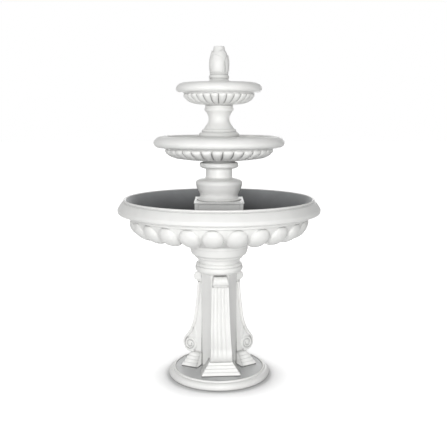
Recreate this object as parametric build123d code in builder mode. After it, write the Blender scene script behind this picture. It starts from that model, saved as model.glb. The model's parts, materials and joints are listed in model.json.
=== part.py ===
"""Three-tier tabletop water fountain: a wide basin on a scroll-legged pedestal, two smaller
gadrooned bowls on turned stems, a bud finial, and the pump and riser that feed it.

Millimetres, +Z up, the origin on the floor at the middle of the base. The front leg points to -Y.
"""
from math import atan, cos, degrees, radians, sin, tan
import os

from build123d import *

# ---------------------------------------------------------------- driving dimensions
TOTAL_HEIGHT = 600.0

# base plate and its pads
BASE_RADIUS = 93.5
BASE_TOP = 17.0
BASE_DECK = 15.5
PAD_STAND_OFF = 1.5
PAD_CIRCLE = 83.0

# pedestal
LEG_COUNT = 3
LEG_ANGLES = [-90.0 + i * 360.0 / LEG_COUNT for i in range(LEG_COUNT)]
LEG_NAMES = ["leg_front", "leg_back_right", "leg_back_left"]
CORE_APOTHEM = 28.0
CORE_BORE_RADIUS = 17.0
PEDESTAL_TOP = 196.0
FOOT_TOP = 38.5
SHAFT_TOP = 175.0
SHAFT_HALF_WIDTH_TOP = 15.6
SHAFT_HALF_WIDTH_BOTTOM = 19.8
VOLUTE_CENTRE = (52.4, 55.2)
VOLUTE_RADIUS = 14.0
CAP_HALF_WIDTH = 13.0
CAP_SCROLL_CENTRE = (38.3, 187.2)
CAP_SCROLL_RADIUS = 7.5
CAP_REED_PITCH = 5.2
CAP_REED_DEPTH = 0.6
FLUTE_WIDTH = 3.2
FLUTE_DEPTH = 1.3
FLUTE_PITCH = 5.9
PANEL_DEPTH = 1.4
PANEL_BORDER = 4.0

# collar between pedestal and basin
COLLAR_TOP = 250.0
COLLAR_TOP_RADIUS = 54.0

# basin
BASIN_CREST = 333.0
BASIN_CREST_RADIUS = 170.2
BASIN_RADIUS = 183.0
BASIN_FLOOR = 258.0
BASIN_EGGS = 24
BASIN_EGG_ANGLE = -90.0 - 180.0 / BASIN_EGGS

# middle bowl
MIDDLE_BOTTOM = 400.0
MIDDLE_FLOOR = 408.0
MIDDLE_CREST = 444.0
MIDDLE_RADIUS = 117.4
MIDDLE_GADROONS = 32
MIDDLE_GADROON_ANGLE = -90.0 + 180.0 / MIDDLE_GADROONS

# top bowl
TOP_BOTTOM = 498.0
TOP_FLOOR = 505.0
TOP_CREST = 537.0
TOP_RADIUS = 76.4
TOP_GADROONS = 28
TOP_GADROON_ANGLE = -94.5 + 180.0 / TOP_GADROONS

# plinth under the lower stem, over the pump
PLINTH_HALF_WIDTH = 47.2
PLINTH_TOP = 329.6
PLINTH_WALL = 7.5
PLINTH_ROOF = 9.0
PLINTH_LIP = 1.3
PLINTH_LIP_HEIGHT = 2.6
PLINTH_STRIP = 5.5
PLINTH_PANEL_DEPTH = 1.8
NOTCH_WIDTH = 14.0
NOTCH_HEIGHT = 10.0

# stems
STEM_RING_RADIUS = 34.7
BULB_RADIUS = 41.8
STEM_BORE_RADIUS = 6.4

# riser pipe, its nuts and seals
RISER_RADIUS = 6.0
RISER_BORE_RADIUS = 4.5
RISER_BOTTOM = 303.0
RISER_TOP = 584.0
NUT_ACROSS_FLATS = 20.0
NUT_HEIGHT = 7.0
SEAL_THICKNESS = 1.0

# finial
FINIAL_FOOT_RADIUS = 21.2
FINIAL_BODY_RADIUS = 17.6
FINIAL_LEAVES = 6
FINIAL_MOUTH_RADIUS = 3.9

# pump: motor behind, impeller chamber on the fountain's axis, strainer in front
PUMP_AXIS_HEIGHT = 282.5
PUMP_HALF_WIDTH = 21.0
PUMP_BOTTOM = 263.5
PUMP_TOP = 300.0
PUMP_BACK = 36.0
PUMP_JOINT = -9.0
PUMP_FRONT = -30.0
CHAMBER_RADIUS = 14.0
CHAMBER_BACK = 4.0
ROTOR_WELL_RADIUS = 8.3
ROTOR_RADIUS = 7.9
ROTOR_WELL_BACK = 31.0
SPINDLE_RADIUS = 1.25
RUNNING_GAP = 0.05
OUTLET_RADIUS = 4.15
DIAL_RADIUS = 6.5

SECTION = Plane.XZ

os.makedirs("parts", exist_ok=True)


def radial_plane(angle):
    """The upright plane through the axis at this angle: local x runs outwards, local y up."""
    outward = Vector(cos(radians(angle)), sin(radians(angle)), 0)
    return Plane(origin=(0, 0, 0), x_dir=outward, z_dir=outward.cross(Vector(0, 0, 1)))


def gadroon(root, head, root_radius, head_radius, count, draw_space):
    """One lobe under a bowl: a cone ending in a ball, trimmed to its share and to the bowl's inside."""
    share = 360.0 / count
    along = Vector(head[0] - root[0], 0, head[1] - root[1])
    lean = atan((head_radius - root_radius) / along.length)
    touch = (along.length - head_radius * sin(lean), head_radius * cos(lean))
    tip = (along.length + head_radius, 0)
    lobe_plane = Plane(origin=(root[0], 0, root[1]), x_dir=along, z_dir=(0, -1, 0))
    with BuildPart() as lobe:
        with BuildSketch(lobe_plane):
            with BuildLine():
                Polyline((0, 0), (0, root_radius), touch)
                RadiusArc(touch, tip, head_radius)
                Line(tip, (0, 0))
            make_face()
        revolve(axis=Axis(lobe_plane.origin, along))
        split(bisect_by=radial_plane(share / 2), keep=Keep.TOP)
        split(bisect_by=radial_plane(-share / 2), keep=Keep.BOTTOM)
        with BuildSketch(SECTION):
            with BuildLine():
                draw_space()
            make_face()
        revolve(axis=Axis.Z, mode=Mode.SUBTRACT)
    return lobe.part


def finish(builder, label):
    """Label a finished sub-part and write it to its own file."""
    builder.part.label = label
    export_step(builder.part, f"parts/{label}.step")


# ---------------------------------------------------------------- base plate and pads
base_recess_top = 8.0
leg_screw_radius = 1.8
leg_screw_circle = 44.0

with BuildPart() as base_plate:
    with BuildSketch(SECTION):
        with BuildLine():
            Polyline((0, base_recess_top), (0, BASE_DECK), (80.5, BASE_DECK), (81.2, BASE_DECK - 0.8))
            ThreePointArc((81.2, BASE_DECK - 0.8), (84.5, BASE_TOP + 0.4), (88.0, BASE_TOP - 0.4))
            ThreePointArc((88.0, BASE_TOP - 0.4), (BASE_RADIUS, 9.4), (89.5, PAD_STAND_OFF))
            Polyline((89.5, PAD_STAND_OFF), (77.0, PAD_STAND_OFF), (75.0, base_recess_top),
                     (0, base_recess_top))
        make_face()
    revolve(axis=Axis.Z)
    with BuildSketch(Plane.XY.offset(base_recess_top)):
        with PolarLocations(leg_screw_circle, LEG_COUNT, start_angle=LEG_ANGLES[0]):
            Circle(leg_screw_radius)
    extrude(amount=BASE_DECK, mode=Mode.SUBTRACT)
    with BuildSketch(Plane.XY.offset(PAD_STAND_OFF)):
        with PolarLocations(PAD_CIRCLE, 2 * LEG_COUNT, start_angle=LEG_ANGLES[0]):
            Circle(4.6)
    extrude(amount=1.5, mode=Mode.SUBTRACT)
finish(base_plate, "base_plate")

with BuildPart() as base_pads:
    with BuildSketch():
        with PolarLocations(PAD_CIRCLE, 2 * LEG_COUNT, start_angle=LEG_ANGLES[0]):
            Circle(4.5)
    extrude(amount=PAD_STAND_OFF + 1.5)
finish(base_pads, "base_pads")

with BuildPart() as leg_screws:
    with BuildSketch(Plane.XY.offset(base_recess_top)):
        with PolarLocations(leg_screw_circle, LEG_COUNT, start_angle=LEG_ANGLES[0]):
            Circle(leg_screw_radius)
    extrude(amount=22)
    with BuildSketch(Plane.XY.offset(base_recess_top)):
        with PolarLocations(leg_screw_circle, LEG_COUNT, start_angle=LEG_ANGLES[0]):
            Circle(3.6)
    extrude(amount=-2.4)
    with BuildSketch(Plane.XY.offset(base_recess_top - 2.4)):
        with PolarLocations(leg_screw_circle, LEG_COUNT, start_angle=LEG_ANGLES[0]):
            Rectangle(4.6, 0.9)
            Rectangle(0.9, 4.6)
    extrude(amount=1.2, mode=Mode.SUBTRACT)
finish(leg_screws, "leg_screws")

# ---------------------------------------------------------------- pedestal core
dowel_radius = 2.0
dowel_heights = [70.0, 150.0]
dowel_inner = 22.0
dowel_outer = 34.0
grommet_height = 31.0
grommet_radius = 6.0
grommet_bore_radius = 3.6
collar_screw_radius = 1.6
collar_screw_circle = 23.0
collar_screw_depth = 24.0

with BuildPart() as pedestal_core:
    with BuildSketch(Plane.XY.offset(BASE_DECK)):
        RegularPolygon(CORE_APOTHEM, 2 * LEG_COUNT, major_radius=False)
        Circle(CORE_BORE_RADIUS, mode=Mode.SUBTRACT)
    extrude(amount=PEDESTAL_TOP - BASE_DECK)
    with BuildSketch(Plane.XY.offset(PEDESTAL_TOP)):
        with PolarLocations(collar_screw_circle, LEG_COUNT, start_angle=LEG_ANGLES[0]):
            Circle(collar_screw_radius)
    extrude(amount=-collar_screw_depth, mode=Mode.SUBTRACT)
    for angle in LEG_ANGLES:
        leg_side = radial_plane(angle)
        for height in dowel_heights:
            start = leg_side.x_dir * dowel_inner + Vector(0, 0, height)
            with BuildSketch(Plane(origin=start, z_dir=leg_side.x_dir)):
                Circle(dowel_radius)
            extrude(amount=CORE_APOTHEM, mode=Mode.SUBTRACT)
    with BuildSketch(Plane(origin=(0, 0, grommet_height), z_dir=(0, 1, 0))):
        Circle(grommet_radius)
    extrude(amount=CORE_APOTHEM + 5, mode=Mode.SUBTRACT)
finish(pedestal_core, "pedestal_core")

with BuildPart() as leg_dowels:
    for angle in LEG_ANGLES:
        leg_side = radial_plane(angle)
        for height in dowel_heights:
            start = leg_side.x_dir * dowel_inner + Vector(0, 0, height)
            with BuildSketch(Plane(origin=start, z_dir=leg_side.x_dir)):
                Circle(dowel_radius)
            extrude(amount=dowel_outer - dowel_inner)
finish(leg_dowels, "leg_dowels")

with BuildPart() as cable_grommet:
    with BuildSketch(Plane(origin=(0, CORE_APOTHEM - 10, grommet_height), z_dir=(0, 1, 0))):
        Circle(grommet_radius)
    extrude(amount=10)
    with BuildSketch(Plane(origin=(0, CORE_APOTHEM, grommet_height), z_dir=(0, 1, 0))):
        Circle(8.2)
    extrude(amount=2)
    chamfer(cable_grommet.faces().sort_by(Axis.Y)[-1].outer_wire().edges(), 0.8)
    with BuildSketch(Plane(origin=(0, CORE_APOTHEM - 10, grommet_height), z_dir=(0, 1, 0))):
        Circle(grommet_bore_radius)
    extrude(amount=14, mode=Mode.SUBTRACT)
finish(cable_grommet, "cable_grommet")

# ---------------------------------------------------------------- scrolled legs
# side outline of the shaft, as (distance from the axis, height)
volute_foot = (VOLUTE_CENTRE[0] - 5.0, VOLUTE_CENTRE[1] - VOLUTE_RADIUS)
volute_leave_angle = 28.0
sweep_middle = (52.0, 84.0)
sweep_top = (43.4, 115.0)
shaft_head = (37.3, SHAFT_TOP)
shaft_draft = degrees(atan((SHAFT_HALF_WIDTH_BOTTOM - SHAFT_HALF_WIDTH_TOP) / (SHAFT_TOP - FOOT_TOP)))
# the foot's four steps from the floor up, each as levels of (height, half width, reach from the axis)
foot_steps = [
    [(BASE_DECK, 35.4, 61.0), (18.5, 35.2, 60.8), (22.5, 32.4, 58.8)],
    [(22.5, 31.8, 58.2), (28.0, 28.6, 55.9)],
    [(28.0, 28.0, 55.3), (33.5, 24.9, 53.0)],
    [(33.5, 24.3, 52.4), (FOOT_TOP, 21.6, 50.4)],
]
cap_top = CAP_SCROLL_CENTRE[1] + CAP_SCROLL_RADIUS
cap_quirk_angle = -50.0
cap_eye_radius = 1.9
cap_dish_border = 2.4
cap_dish_depth = 0.9


def on_volute(angle, inset):
    """A point on the lower volute's rim, inset towards its eye."""
    reach = VOLUTE_RADIUS - inset
    return (VOLUTE_CENTRE[0] + reach * cos(radians(angle)), VOLUTE_CENTRE[1] + reach * sin(radians(angle)))


def shaft_edge(inset):
    """Draw the shaft's outer edge from the volute's underside up to the cap, inset from the front."""
    leave = on_volute(volute_leave_angle, inset)
    under = (volute_foot[0], volute_foot[1] + inset)
    middle = (sweep_middle[0] - inset, sweep_middle[1])
    top = (sweep_top[0] - inset, sweep_top[1])
    ThreePointArc(under, on_volute(-30, inset), leave)
    ThreePointArc(leave, middle, top)
    Line(top, (shaft_head[0] - inset, shaft_head[1]))


for angle, name in zip(LEG_ANGLES, LEG_NAMES):
    side = radial_plane(angle)
    front = Plane(origin=(0, 0, 0), x_dir=side.z_dir * -1, z_dir=side.x_dir)
    with BuildPart(mode=Mode.PRIVATE) as flank_panel:
        flank = Plane(origin=side.z_dir * SHAFT_HALF_WIDTH_BOTTOM + Vector(0, 0, FOOT_TOP),
                      x_dir=side.x_dir, z_dir=side.z_dir + Vector(0, 0, tan(radians(shaft_draft))))
        with BuildSketch(flank):
            with BuildLine():
                Polyline((CORE_APOTHEM + 2, 128), (CORE_APOTHEM + 2, 38), (47, 38),
                         (sweep_top[0] - PANEL_BORDER, sweep_top[1] - FOOT_TOP),
                         (shaft_head[0] - PANEL_BORDER + 0.6, 128), (CORE_APOTHEM + 2, 128))
            make_face()
            with Locations((VOLUTE_CENTRE[0], VOLUTE_CENTRE[1] - FOOT_TOP)):
                Circle(VOLUTE_RADIUS - PANEL_BORDER)
                Circle(VOLUTE_RADIUS - 2 * PANEL_BORDER, mode=Mode.SUBTRACT)
        extrude(amount=PANEL_DEPTH, both=True)
    with BuildPart() as leg:
        # shaft: its side outline, trimmed to the taper seen from the front
        with BuildSketch(side):
            with BuildLine():
                Polyline(shaft_head, (CORE_APOTHEM, SHAFT_TOP), (CORE_APOTHEM, FOOT_TOP - 1),
                         (volute_foot[0], FOOT_TOP - 1), volute_foot)
                shaft_edge(0)
            make_face()
        extrude(amount=40, both=True)
        with BuildSketch(front):
            with BuildLine():
                Polyline((-SHAFT_HALF_WIDTH_BOTTOM, FOOT_TOP - 1), (SHAFT_HALF_WIDTH_BOTTOM, FOOT_TOP - 1),
                         (SHAFT_HALF_WIDTH_TOP, SHAFT_TOP), (-SHAFT_HALF_WIDTH_TOP, SHAFT_TOP), close=True)
            make_face()
        extrude(amount=90, mode=Mode.INTERSECT)
        # flutes down the front, inside a plain border
        for place in (-1.5, -0.5, 0.5, 1.5):
            with BuildSketch(side.offset(place * FLUTE_PITCH)):
                with BuildLine():
                    shaft_edge(FLUTE_DEPTH)
                    Polyline((shaft_head[0] - FLUTE_DEPTH, SHAFT_TOP), (80, SHAFT_TOP), (80, FOOT_TOP),
                             (volute_foot[0], FOOT_TOP), (volute_foot[0], volute_foot[1] + FLUTE_DEPTH))
                make_face()
            extrude(amount=FLUTE_WIDTH / 2, both=True, mode=Mode.SUBTRACT)
        # sunk panel and volute channel on both flanks
        add(flank_panel.part, mode=Mode.SUBTRACT)
        add(mirror(flank_panel.part, about=side, mode=Mode.PRIVATE), mode=Mode.SUBTRACT)
        # cap with its small scroll
        with BuildSketch(side):
            with BuildLine():
                roll = CAP_SCROLL_RADIUS
                quirk = (CAP_SCROLL_CENTRE[0] + roll * cos(radians(cap_quirk_angle)),
                         CAP_SCROLL_CENTRE[1] + roll * sin(radians(cap_quirk_angle)))
                scroll_top = (CAP_SCROLL_CENTRE[0], cap_top)
                neck = (shaft_head[0] - 0.5, SHAFT_TOP)
                Polyline(scroll_top, (CORE_APOTHEM, cap_top), (CORE_APOTHEM, SHAFT_TOP), neck)
                ThreePointArc(neck, (neck[0] + 2.0, neck[1] + 4.2), quirk)
                ThreePointArc(quirk, (CAP_SCROLL_CENTRE[0] + roll, CAP_SCROLL_CENTRE[1]), scroll_top)
            make_face()
        extrude(amount=CAP_HALF_WIDTH, both=True)
        # grooves over the roll of the cap leave it reeded
        for place in (-1.5, -0.5, 0.5, 1.5):
            with BuildSketch(side.offset(place * CAP_REED_PITCH)):
                with Locations(CAP_SCROLL_CENTRE):
                    Circle(roll + 1)
                    Circle(roll - CAP_REED_DEPTH, mode=Mode.SUBTRACT)
                    Rectangle(20, 20, rotation=-25, align=Align.MIN, mode=Mode.INTERSECT)
            extrude(amount=0.4, both=True, mode=Mode.SUBTRACT)
        # a dished ring round the eye at each end of the roll
        for place in (-1, 1):
            with BuildSketch(side.offset(place * CAP_HALF_WIDTH)):
                with Locations(CAP_SCROLL_CENTRE):
                    Circle(roll - cap_dish_border)
                    Circle(cap_eye_radius, mode=Mode.SUBTRACT)
            extrude(amount=-place * cap_dish_depth, mode=Mode.SUBTRACT)
        # stepped foot, with a fine ledge between one slope and the next
        for levels in foot_steps:
            for height, half_width, reach in levels:
                with BuildSketch(Plane(origin=(0, 0, height), x_dir=side.x_dir)):
                    with Locations(((CORE_APOTHEM + reach) / 2, 0)):
                        Rectangle(reach - CORE_APOTHEM, 2 * half_width)
            loft(ruled=True)
        with BuildSketch(Plane(origin=(0, 0, BASE_DECK), x_dir=side.x_dir)):
            with Locations((leg_screw_circle, 0)):
                Circle(leg_screw_radius)
        extrude(amount=30 - BASE_DECK, mode=Mode.SUBTRACT)
        for height in dowel_heights:
            start = side.x_dir * dowel_inner + Vector(0, 0, height)
            with BuildSketch(Plane(origin=start, z_dir=side.x_dir)):
                Circle(dowel_radius)
            extrude(amount=dowel_outer - dowel_inner, mode=Mode.SUBTRACT)
    finish(leg, name)

# ---------------------------------------------------------------- collar
collar_deck = 222.0
basin_screw_circle = 38.0
basin_screw_radius = 1.8

with BuildPart() as collar:
    with BuildSketch(SECTION):
        with BuildLine():
            # a short neck over the legs' caps, two rings, a hollow waist and the flared head
            Polyline((CORE_BORE_RADIUS, PEDESTAL_TOP), (36.0, PEDESTAL_TOP), (36.4, 198.4), (40.4, 198.8))
            ThreePointArc((40.4, 198.8), (43.8, 203.4), (43.0, 208.6))
            Polyline((43.0, 208.6), (42.0, 209.4), (42.4, 210.2))
            ThreePointArc((42.4, 210.2), (42.2, 212.8), (39.8, 214.6))
            Line((39.8, 214.6), (38.2, 215.2))
            ThreePointArc((38.2, 215.2), (39.0, 219.6), (42.0, 223.2))
            Polyline((42.0, 223.2), (43.6, 223.8), (44.6, 226.4))
            ThreePointArc((44.6, 226.4), (46.6, 228.8), (49.0, 230.0))
            Line((49.0, 230.0), (50.4, 230.8))
            ThreePointArc((50.4, 230.8), (52.4, 237.0), (COLLAR_TOP_RADIUS - 0.6, 243.0))
            Polyline((COLLAR_TOP_RADIUS - 0.6, 243.0), (COLLAR_TOP_RADIUS, COLLAR_TOP), (30.0, COLLAR_TOP),
                     (30.0, collar_deck), (CORE_BORE_RADIUS, collar_deck), (CORE_BORE_RADIUS, PEDESTAL_TOP))
        make_face()
    revolve(axis=Axis.Z)
    with BuildSketch(Plane.XY.offset(PEDESTAL_TOP)):
        with PolarLocations(collar_screw_circle, LEG_COUNT, start_angle=LEG_ANGLES[0]):
            Circle(collar_screw_radius)
    extrude(amount=collar_deck - PEDESTAL_TOP, mode=Mode.SUBTRACT)
    with BuildSketch(Plane.XY.offset(COLLAR_TOP)):
        with PolarLocations(basin_screw_circle, LEG_COUNT, start_angle=0):
            Circle(basin_screw_radius)
    extrude(amount=-16, mode=Mode.SUBTRACT)
finish(collar, "pedestal_collar")

with BuildPart() as collar_screws:
    with BuildSketch(Plane.XY.offset(PEDESTAL_TOP - collar_screw_depth)):
        with PolarLocations(collar_screw_circle, LEG_COUNT, start_angle=LEG_ANGLES[0]):
            Circle(collar_screw_radius)
    extrude(amount=collar_deck - PEDESTAL_TOP + collar_screw_depth)
    with BuildSketch(Plane.XY.offset(collar_deck)):
        with PolarLocations(collar_screw_circle, LEG_COUNT, start_angle=LEG_ANGLES[0]):
            Circle(3.4)
    extrude(amount=2.4)
    with BuildSketch(Plane.XY.offset(collar_deck + 2.4)):
        with PolarLocations(collar_screw_circle, LEG_COUNT, start_angle=LEG_ANGLES[0]):
            Rectangle(4.2, 0.9)
            Rectangle(0.9, 4.2)
    extrude(amount=-1.2, mode=Mode.SUBTRACT)
finish(collar_screws, "collar_screws")

# ---------------------------------------------------------------- basin
bung_radius = 8.0
egg_root = (106.0, 269.5)
egg_head = (146.2, 286.2)
egg_root_radius = 6.0
egg_head_radius = 17.5
basin_flat = 68.0
basin_lip = (BASIN_CREST_RADIUS - 1.8, BASIN_CREST - 1.8)
basin_brow = (BASIN_CREST_RADIUS + 1.6, BASIN_CREST - 2.8)


def basin_inside():
    """Draw the basin's inside from the floor's edge up to the crest."""
    Line((basin_flat, BASIN_FLOOR), (124, 275))
    ThreePointArc((124, 275), (141.5, 283), (150.5, 299))
    Polyline((150.5, 299), (161, 322), basin_lip)


def basin_space():
    """Draw the section of the space inside the basin."""
    basin_inside()
    Polyline(basin_lip, (0, basin_lip[1]), (0, BASIN_FLOOR), (basin_flat, BASIN_FLOOR))


with BuildPart() as basin_share:
    # one egg's share of the turned basin, with its egg
    with BuildSketch(radial_plane(-180.0 / BASIN_EGGS)):
        with BuildLine():
            Polyline((bung_radius, COLLAR_TOP), (56, COLLAR_TOP), (112, 264.5), (124, 267.5))
            ThreePointArc((124, 267.5), (146.5, 278.5), (157, 299))
            # fillet band, flat underside of the rim, its edge, the straight slope and the crest bead
            Polyline((157, 299), (163.2, 299), (163.2, 302.2), (165.0, 304.2), (178.6, 305.0))
            ThreePointArc((178.6, 305.0), (181.9, 306.3), (BASIN_RADIUS, 309.6))
            Polyline((BASIN_RADIUS, 309.6), (BASIN_RADIUS, 313.6), (173.2, 328.6), basin_brow)
            ThreePointArc(basin_brow, (BASIN_CREST_RADIUS, BASIN_CREST), basin_lip)
            basin_inside()
            Polyline((basin_flat, BASIN_FLOOR), (bung_radius, BASIN_FLOOR), (bung_radius, COLLAR_TOP))
        make_face()
    revolve(axis=Axis.Z, revolution_arc=360.0 / BASIN_EGGS)
    add(gadroon(egg_root, egg_head, egg_root_radius, egg_head_radius, BASIN_EGGS, basin_space))

with BuildPart() as basin:
    with PolarLocations(0, BASIN_EGGS, start_angle=BASIN_EGG_ANGLE):
        add(basin_share.part)
    with BuildSketch(Plane.XY.offset(COLLAR_TOP)):
        with PolarLocations(basin_screw_circle, LEG_COUNT, start_angle=0):
            Circle(basin_screw_radius)
    extrude(amount=BASIN_FLOOR - COLLAR_TOP, mode=Mode.SUBTRACT)
finish(basin, "basin")

with BuildPart() as basin_screws:
    with BuildSketch(Plane.XY.offset(COLLAR_TOP - 16)):
        with PolarLocations(basin_screw_circle, LEG_COUNT, start_angle=0):
            Circle(basin_screw_radius)
    extrude(amount=BASIN_FLOOR + SEAL_THICKNESS - COLLAR_TOP + 16)
    with BuildSketch(Plane.XY.offset(BASIN_FLOOR + SEAL_THICKNESS)):
        with PolarLocations(basin_screw_circle, LEG_COUNT, start_angle=0):
            Circle(3.8)
    extrude(amount=2.0)
    with BuildSketch(Plane.XY.offset(BASIN_FLOOR + SEAL_THICKNESS + 2)):
        with PolarLocations(basin_screw_circle, LEG_COUNT, start_angle=0):
            Rectangle(4.6, 0.9)
            Rectangle(0.9, 4.6)
    extrude(amount=-1.0, mode=Mode.SUBTRACT)
finish(basin_screws, "basin_screws")

with BuildPart() as basin_seals:
    with BuildSketch(Plane.XY.offset(BASIN_FLOOR)):
        with PolarLocations(basin_screw_circle, LEG_COUNT, start_angle=0):
            Circle(4.6)
            Circle(basin_screw_radius, mode=Mode.SUBTRACT)
    extrude(amount=SEAL_THICKNESS)
finish(basin_seals, "basin_seals")

with BuildPart() as cable_bung:
    with BuildSketch(SECTION):
        with BuildLine():
            Polyline((2.6, COLLAR_TOP - 4), (bung_radius - 1, COLLAR_TOP - 4), (bung_radius, COLLAR_TOP - 1),
                     (bung_radius, BASIN_FLOOR), (bung_radius + 2.5, BASIN_FLOOR),
                     (bung_radius + 1.5, BASIN_FLOOR + 2), (2.6, BASIN_FLOOR + 2), close=True)
        make_face()
    revolve(axis=Axis.Z)
finish(cable_bung, "cable_bung")

# ---------------------------------------------------------------- pump
outlet_top = PUMP_TOP + 12.0
outlet_groove = outlet_top - 4.0
motor_width = 2 * PUMP_HALF_WIDTH

with BuildPart() as pump_body:
    with BuildSketch(Plane(origin=(0, CHAMBER_BACK + 2, 0), x_dir=(-1, 0, 0), z_dir=(0, 1, 0))):
        with Locations((0, (PUMP_BOTTOM + PUMP_TOP) / 2)):
            RectangleRounded(motor_width, PUMP_TOP - PUMP_BOTTOM, 5)
    extrude(amount=PUMP_BACK - CHAMBER_BACK - 2)
    chamfer(pump_body.faces().sort_by(Axis.Y)[-1].outer_wire().edges(), 2)
    with BuildSketch(Plane(origin=(0, PUMP_JOINT, PUMP_AXIS_HEIGHT), z_dir=(0, 1, 0))):
        Circle(CHAMBER_RADIUS + 3)
    extrude(amount=CHAMBER_BACK + 2 - PUMP_JOINT)
    with BuildSketch(Plane.XY.offset(PUMP_AXIS_HEIGHT + CHAMBER_RADIUS)):
        Circle(OUTLET_RADIUS + 2.0)
    extrude(amount=PUMP_TOP + 2 - PUMP_AXIS_HEIGHT - CHAMBER_RADIUS)
    with BuildSketch(Plane.XY.offset(PUMP_AXIS_HEIGHT + CHAMBER_RADIUS)):
        Circle(OUTLET_RADIUS)
    extrude(amount=outlet_top - PUMP_AXIS_HEIGHT - CHAMBER_RADIUS)
    # seal groove, outlet bore, impeller chamber and rotor well
    with BuildSketch(Plane.XY.offset(outlet_groove)):
        Circle(OUTLET_RADIUS + 1)
        Circle(OUTLET_RADIUS - 0.6, mode=Mode.SUBTRACT)
    extrude(amount=1.4, mode=Mode.SUBTRACT)
    with BuildSketch(Plane.XY.offset(PUMP_AXIS_HEIGHT)):
        Circle(OUTLET_RADIUS - 1.5)
    extrude(amount=outlet_top - PUMP_AXIS_HEIGHT, mode=Mode.SUBTRACT)
    with BuildSketch(Plane(origin=(0, PUMP_JOINT, PUMP_AXIS_HEIGHT), z_dir=(0, 1, 0))):
        Circle(CHAMBER_RADIUS)
    extrude(amount=CHAMBER_BACK - PUMP_JOINT, mode=Mode.SUBTRACT)
    with BuildSketch(Plane(origin=(0, CHAMBER_BACK, PUMP_AXIS_HEIGHT), z_dir=(0, 1, 0))):
        Circle(ROTOR_WELL_RADIUS)
    extrude(amount=ROTOR_WELL_BACK - CHAMBER_BACK, mode=Mode.SUBTRACT)
finish(pump_body, "pump_body")

bush_length = 3.0
with BuildPart() as spindle_bushes:
    for start in (ROTOR_WELL_BACK - bush_length, PUMP_JOINT):
        with BuildSketch(Plane(origin=(0, start, PUMP_AXIS_HEIGHT), z_dir=(0, 1, 0))):
            Circle(ROTOR_WELL_RADIUS if start > 0 else 3.0)
            Circle(SPINDLE_RADIUS, mode=Mode.SUBTRACT)
        extrude(amount=bush_length)
finish(spindle_bushes, "spindle_bushes")

with BuildPart() as spindle:
    with BuildSketch(Plane(origin=(0, PUMP_JOINT, PUMP_AXIS_HEIGHT), z_dir=(0, 1, 0))):
        Circle(SPINDLE_RADIUS)
    extrude(amount=ROTOR_WELL_BACK - PUMP_JOINT)
finish(spindle, "spindle")

rotor_front = CHAMBER_BACK - 1.0
rotor_back = ROTOR_WELL_BACK - bush_length - 0.6
vane_front = PUMP_JOINT + bush_length + 0.6

with BuildPart() as impeller:
    with BuildSketch(Plane(origin=(0, rotor_front, PUMP_AXIS_HEIGHT), z_dir=(0, 1, 0))):
        Circle(ROTOR_RADIUS)
    extrude(amount=rotor_back - rotor_front)
    with BuildSketch(Plane(origin=(0, vane_front, PUMP_AXIS_HEIGHT), z_dir=(0, 1, 0))):
        Circle(3.6)
        with PolarLocations(0, 6):
            with Locations((6.5, 0)):
                Rectangle(11.0, 1.4)
    extrude(amount=rotor_front - vane_front)
    with BuildSketch(Plane(origin=(0, vane_front, PUMP_AXIS_HEIGHT), z_dir=(0, 1, 0))):
        Circle(SPINDLE_RADIUS + RUNNING_GAP)
    extrude(amount=rotor_back - vane_front, mode=Mode.SUBTRACT)
finish(impeller, "impeller")

strainer_wall = 2.0
slot_pitch = 5.2
dial_height = PUMP_AXIS_HEIGHT + 8.0
dial_gap = 0.3

with BuildPart() as strainer:
    with BuildSketch(Plane(origin=(0, PUMP_FRONT, 0), x_dir=(-1, 0, 0), z_dir=(0, 1, 0))):
        with Locations((0, (PUMP_BOTTOM + PUMP_TOP) / 2)):
            RectangleRounded(motor_width - 2, PUMP_TOP - PUMP_BOTTOM - 2, 5)
    extrude(amount=PUMP_JOINT - PUMP_FRONT)
    with BuildSketch(Plane(origin=(0, PUMP_FRONT + strainer_wall, 0), x_dir=(-1, 0, 0), z_dir=(0, 1, 0))):
        with Locations((0, (PUMP_BOTTOM + PUMP_TOP) / 2)):
            RectangleRounded(motor_width - 2 - 2 * strainer_wall, PUMP_TOP - PUMP_BOTTOM - 6, 3)
    extrude(amount=PUMP_JOINT - PUMP_FRONT - 2 * strainer_wall, mode=Mode.SUBTRACT)
    # eye of the impeller through the back wall, intake slots in front, bore for the dial's stem
    with BuildSketch(Plane(origin=(0, PUMP_JOINT - strainer_wall, PUMP_AXIS_HEIGHT), z_dir=(0, 1, 0))):
        Circle(8.0)
        Circle(3.0, mode=Mode.SUBTRACT)
        Rectangle(1.6, 18, mode=Mode.SUBTRACT)
    extrude(amount=strainer_wall, mode=Mode.SUBTRACT)
    with BuildSketch(Plane(origin=(0, PUMP_FRONT, PUMP_BOTTOM + 11), x_dir=(-1, 0, 0), z_dir=(0, 1, 0))):
        with GridLocations(slot_pitch, 1, 6, 1):
            SlotOverall(12, 2.2, rotation=90)
    extrude(amount=strainer_wall, mode=Mode.SUBTRACT)
    with BuildSketch(Plane(origin=(0, PUMP_FRONT, dial_height), z_dir=(0, 1, 0))):
        Circle(2.0 + RUNNING_GAP)
    extrude(amount=strainer_wall, mode=Mode.SUBTRACT)
finish(strainer, "strainer")

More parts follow.
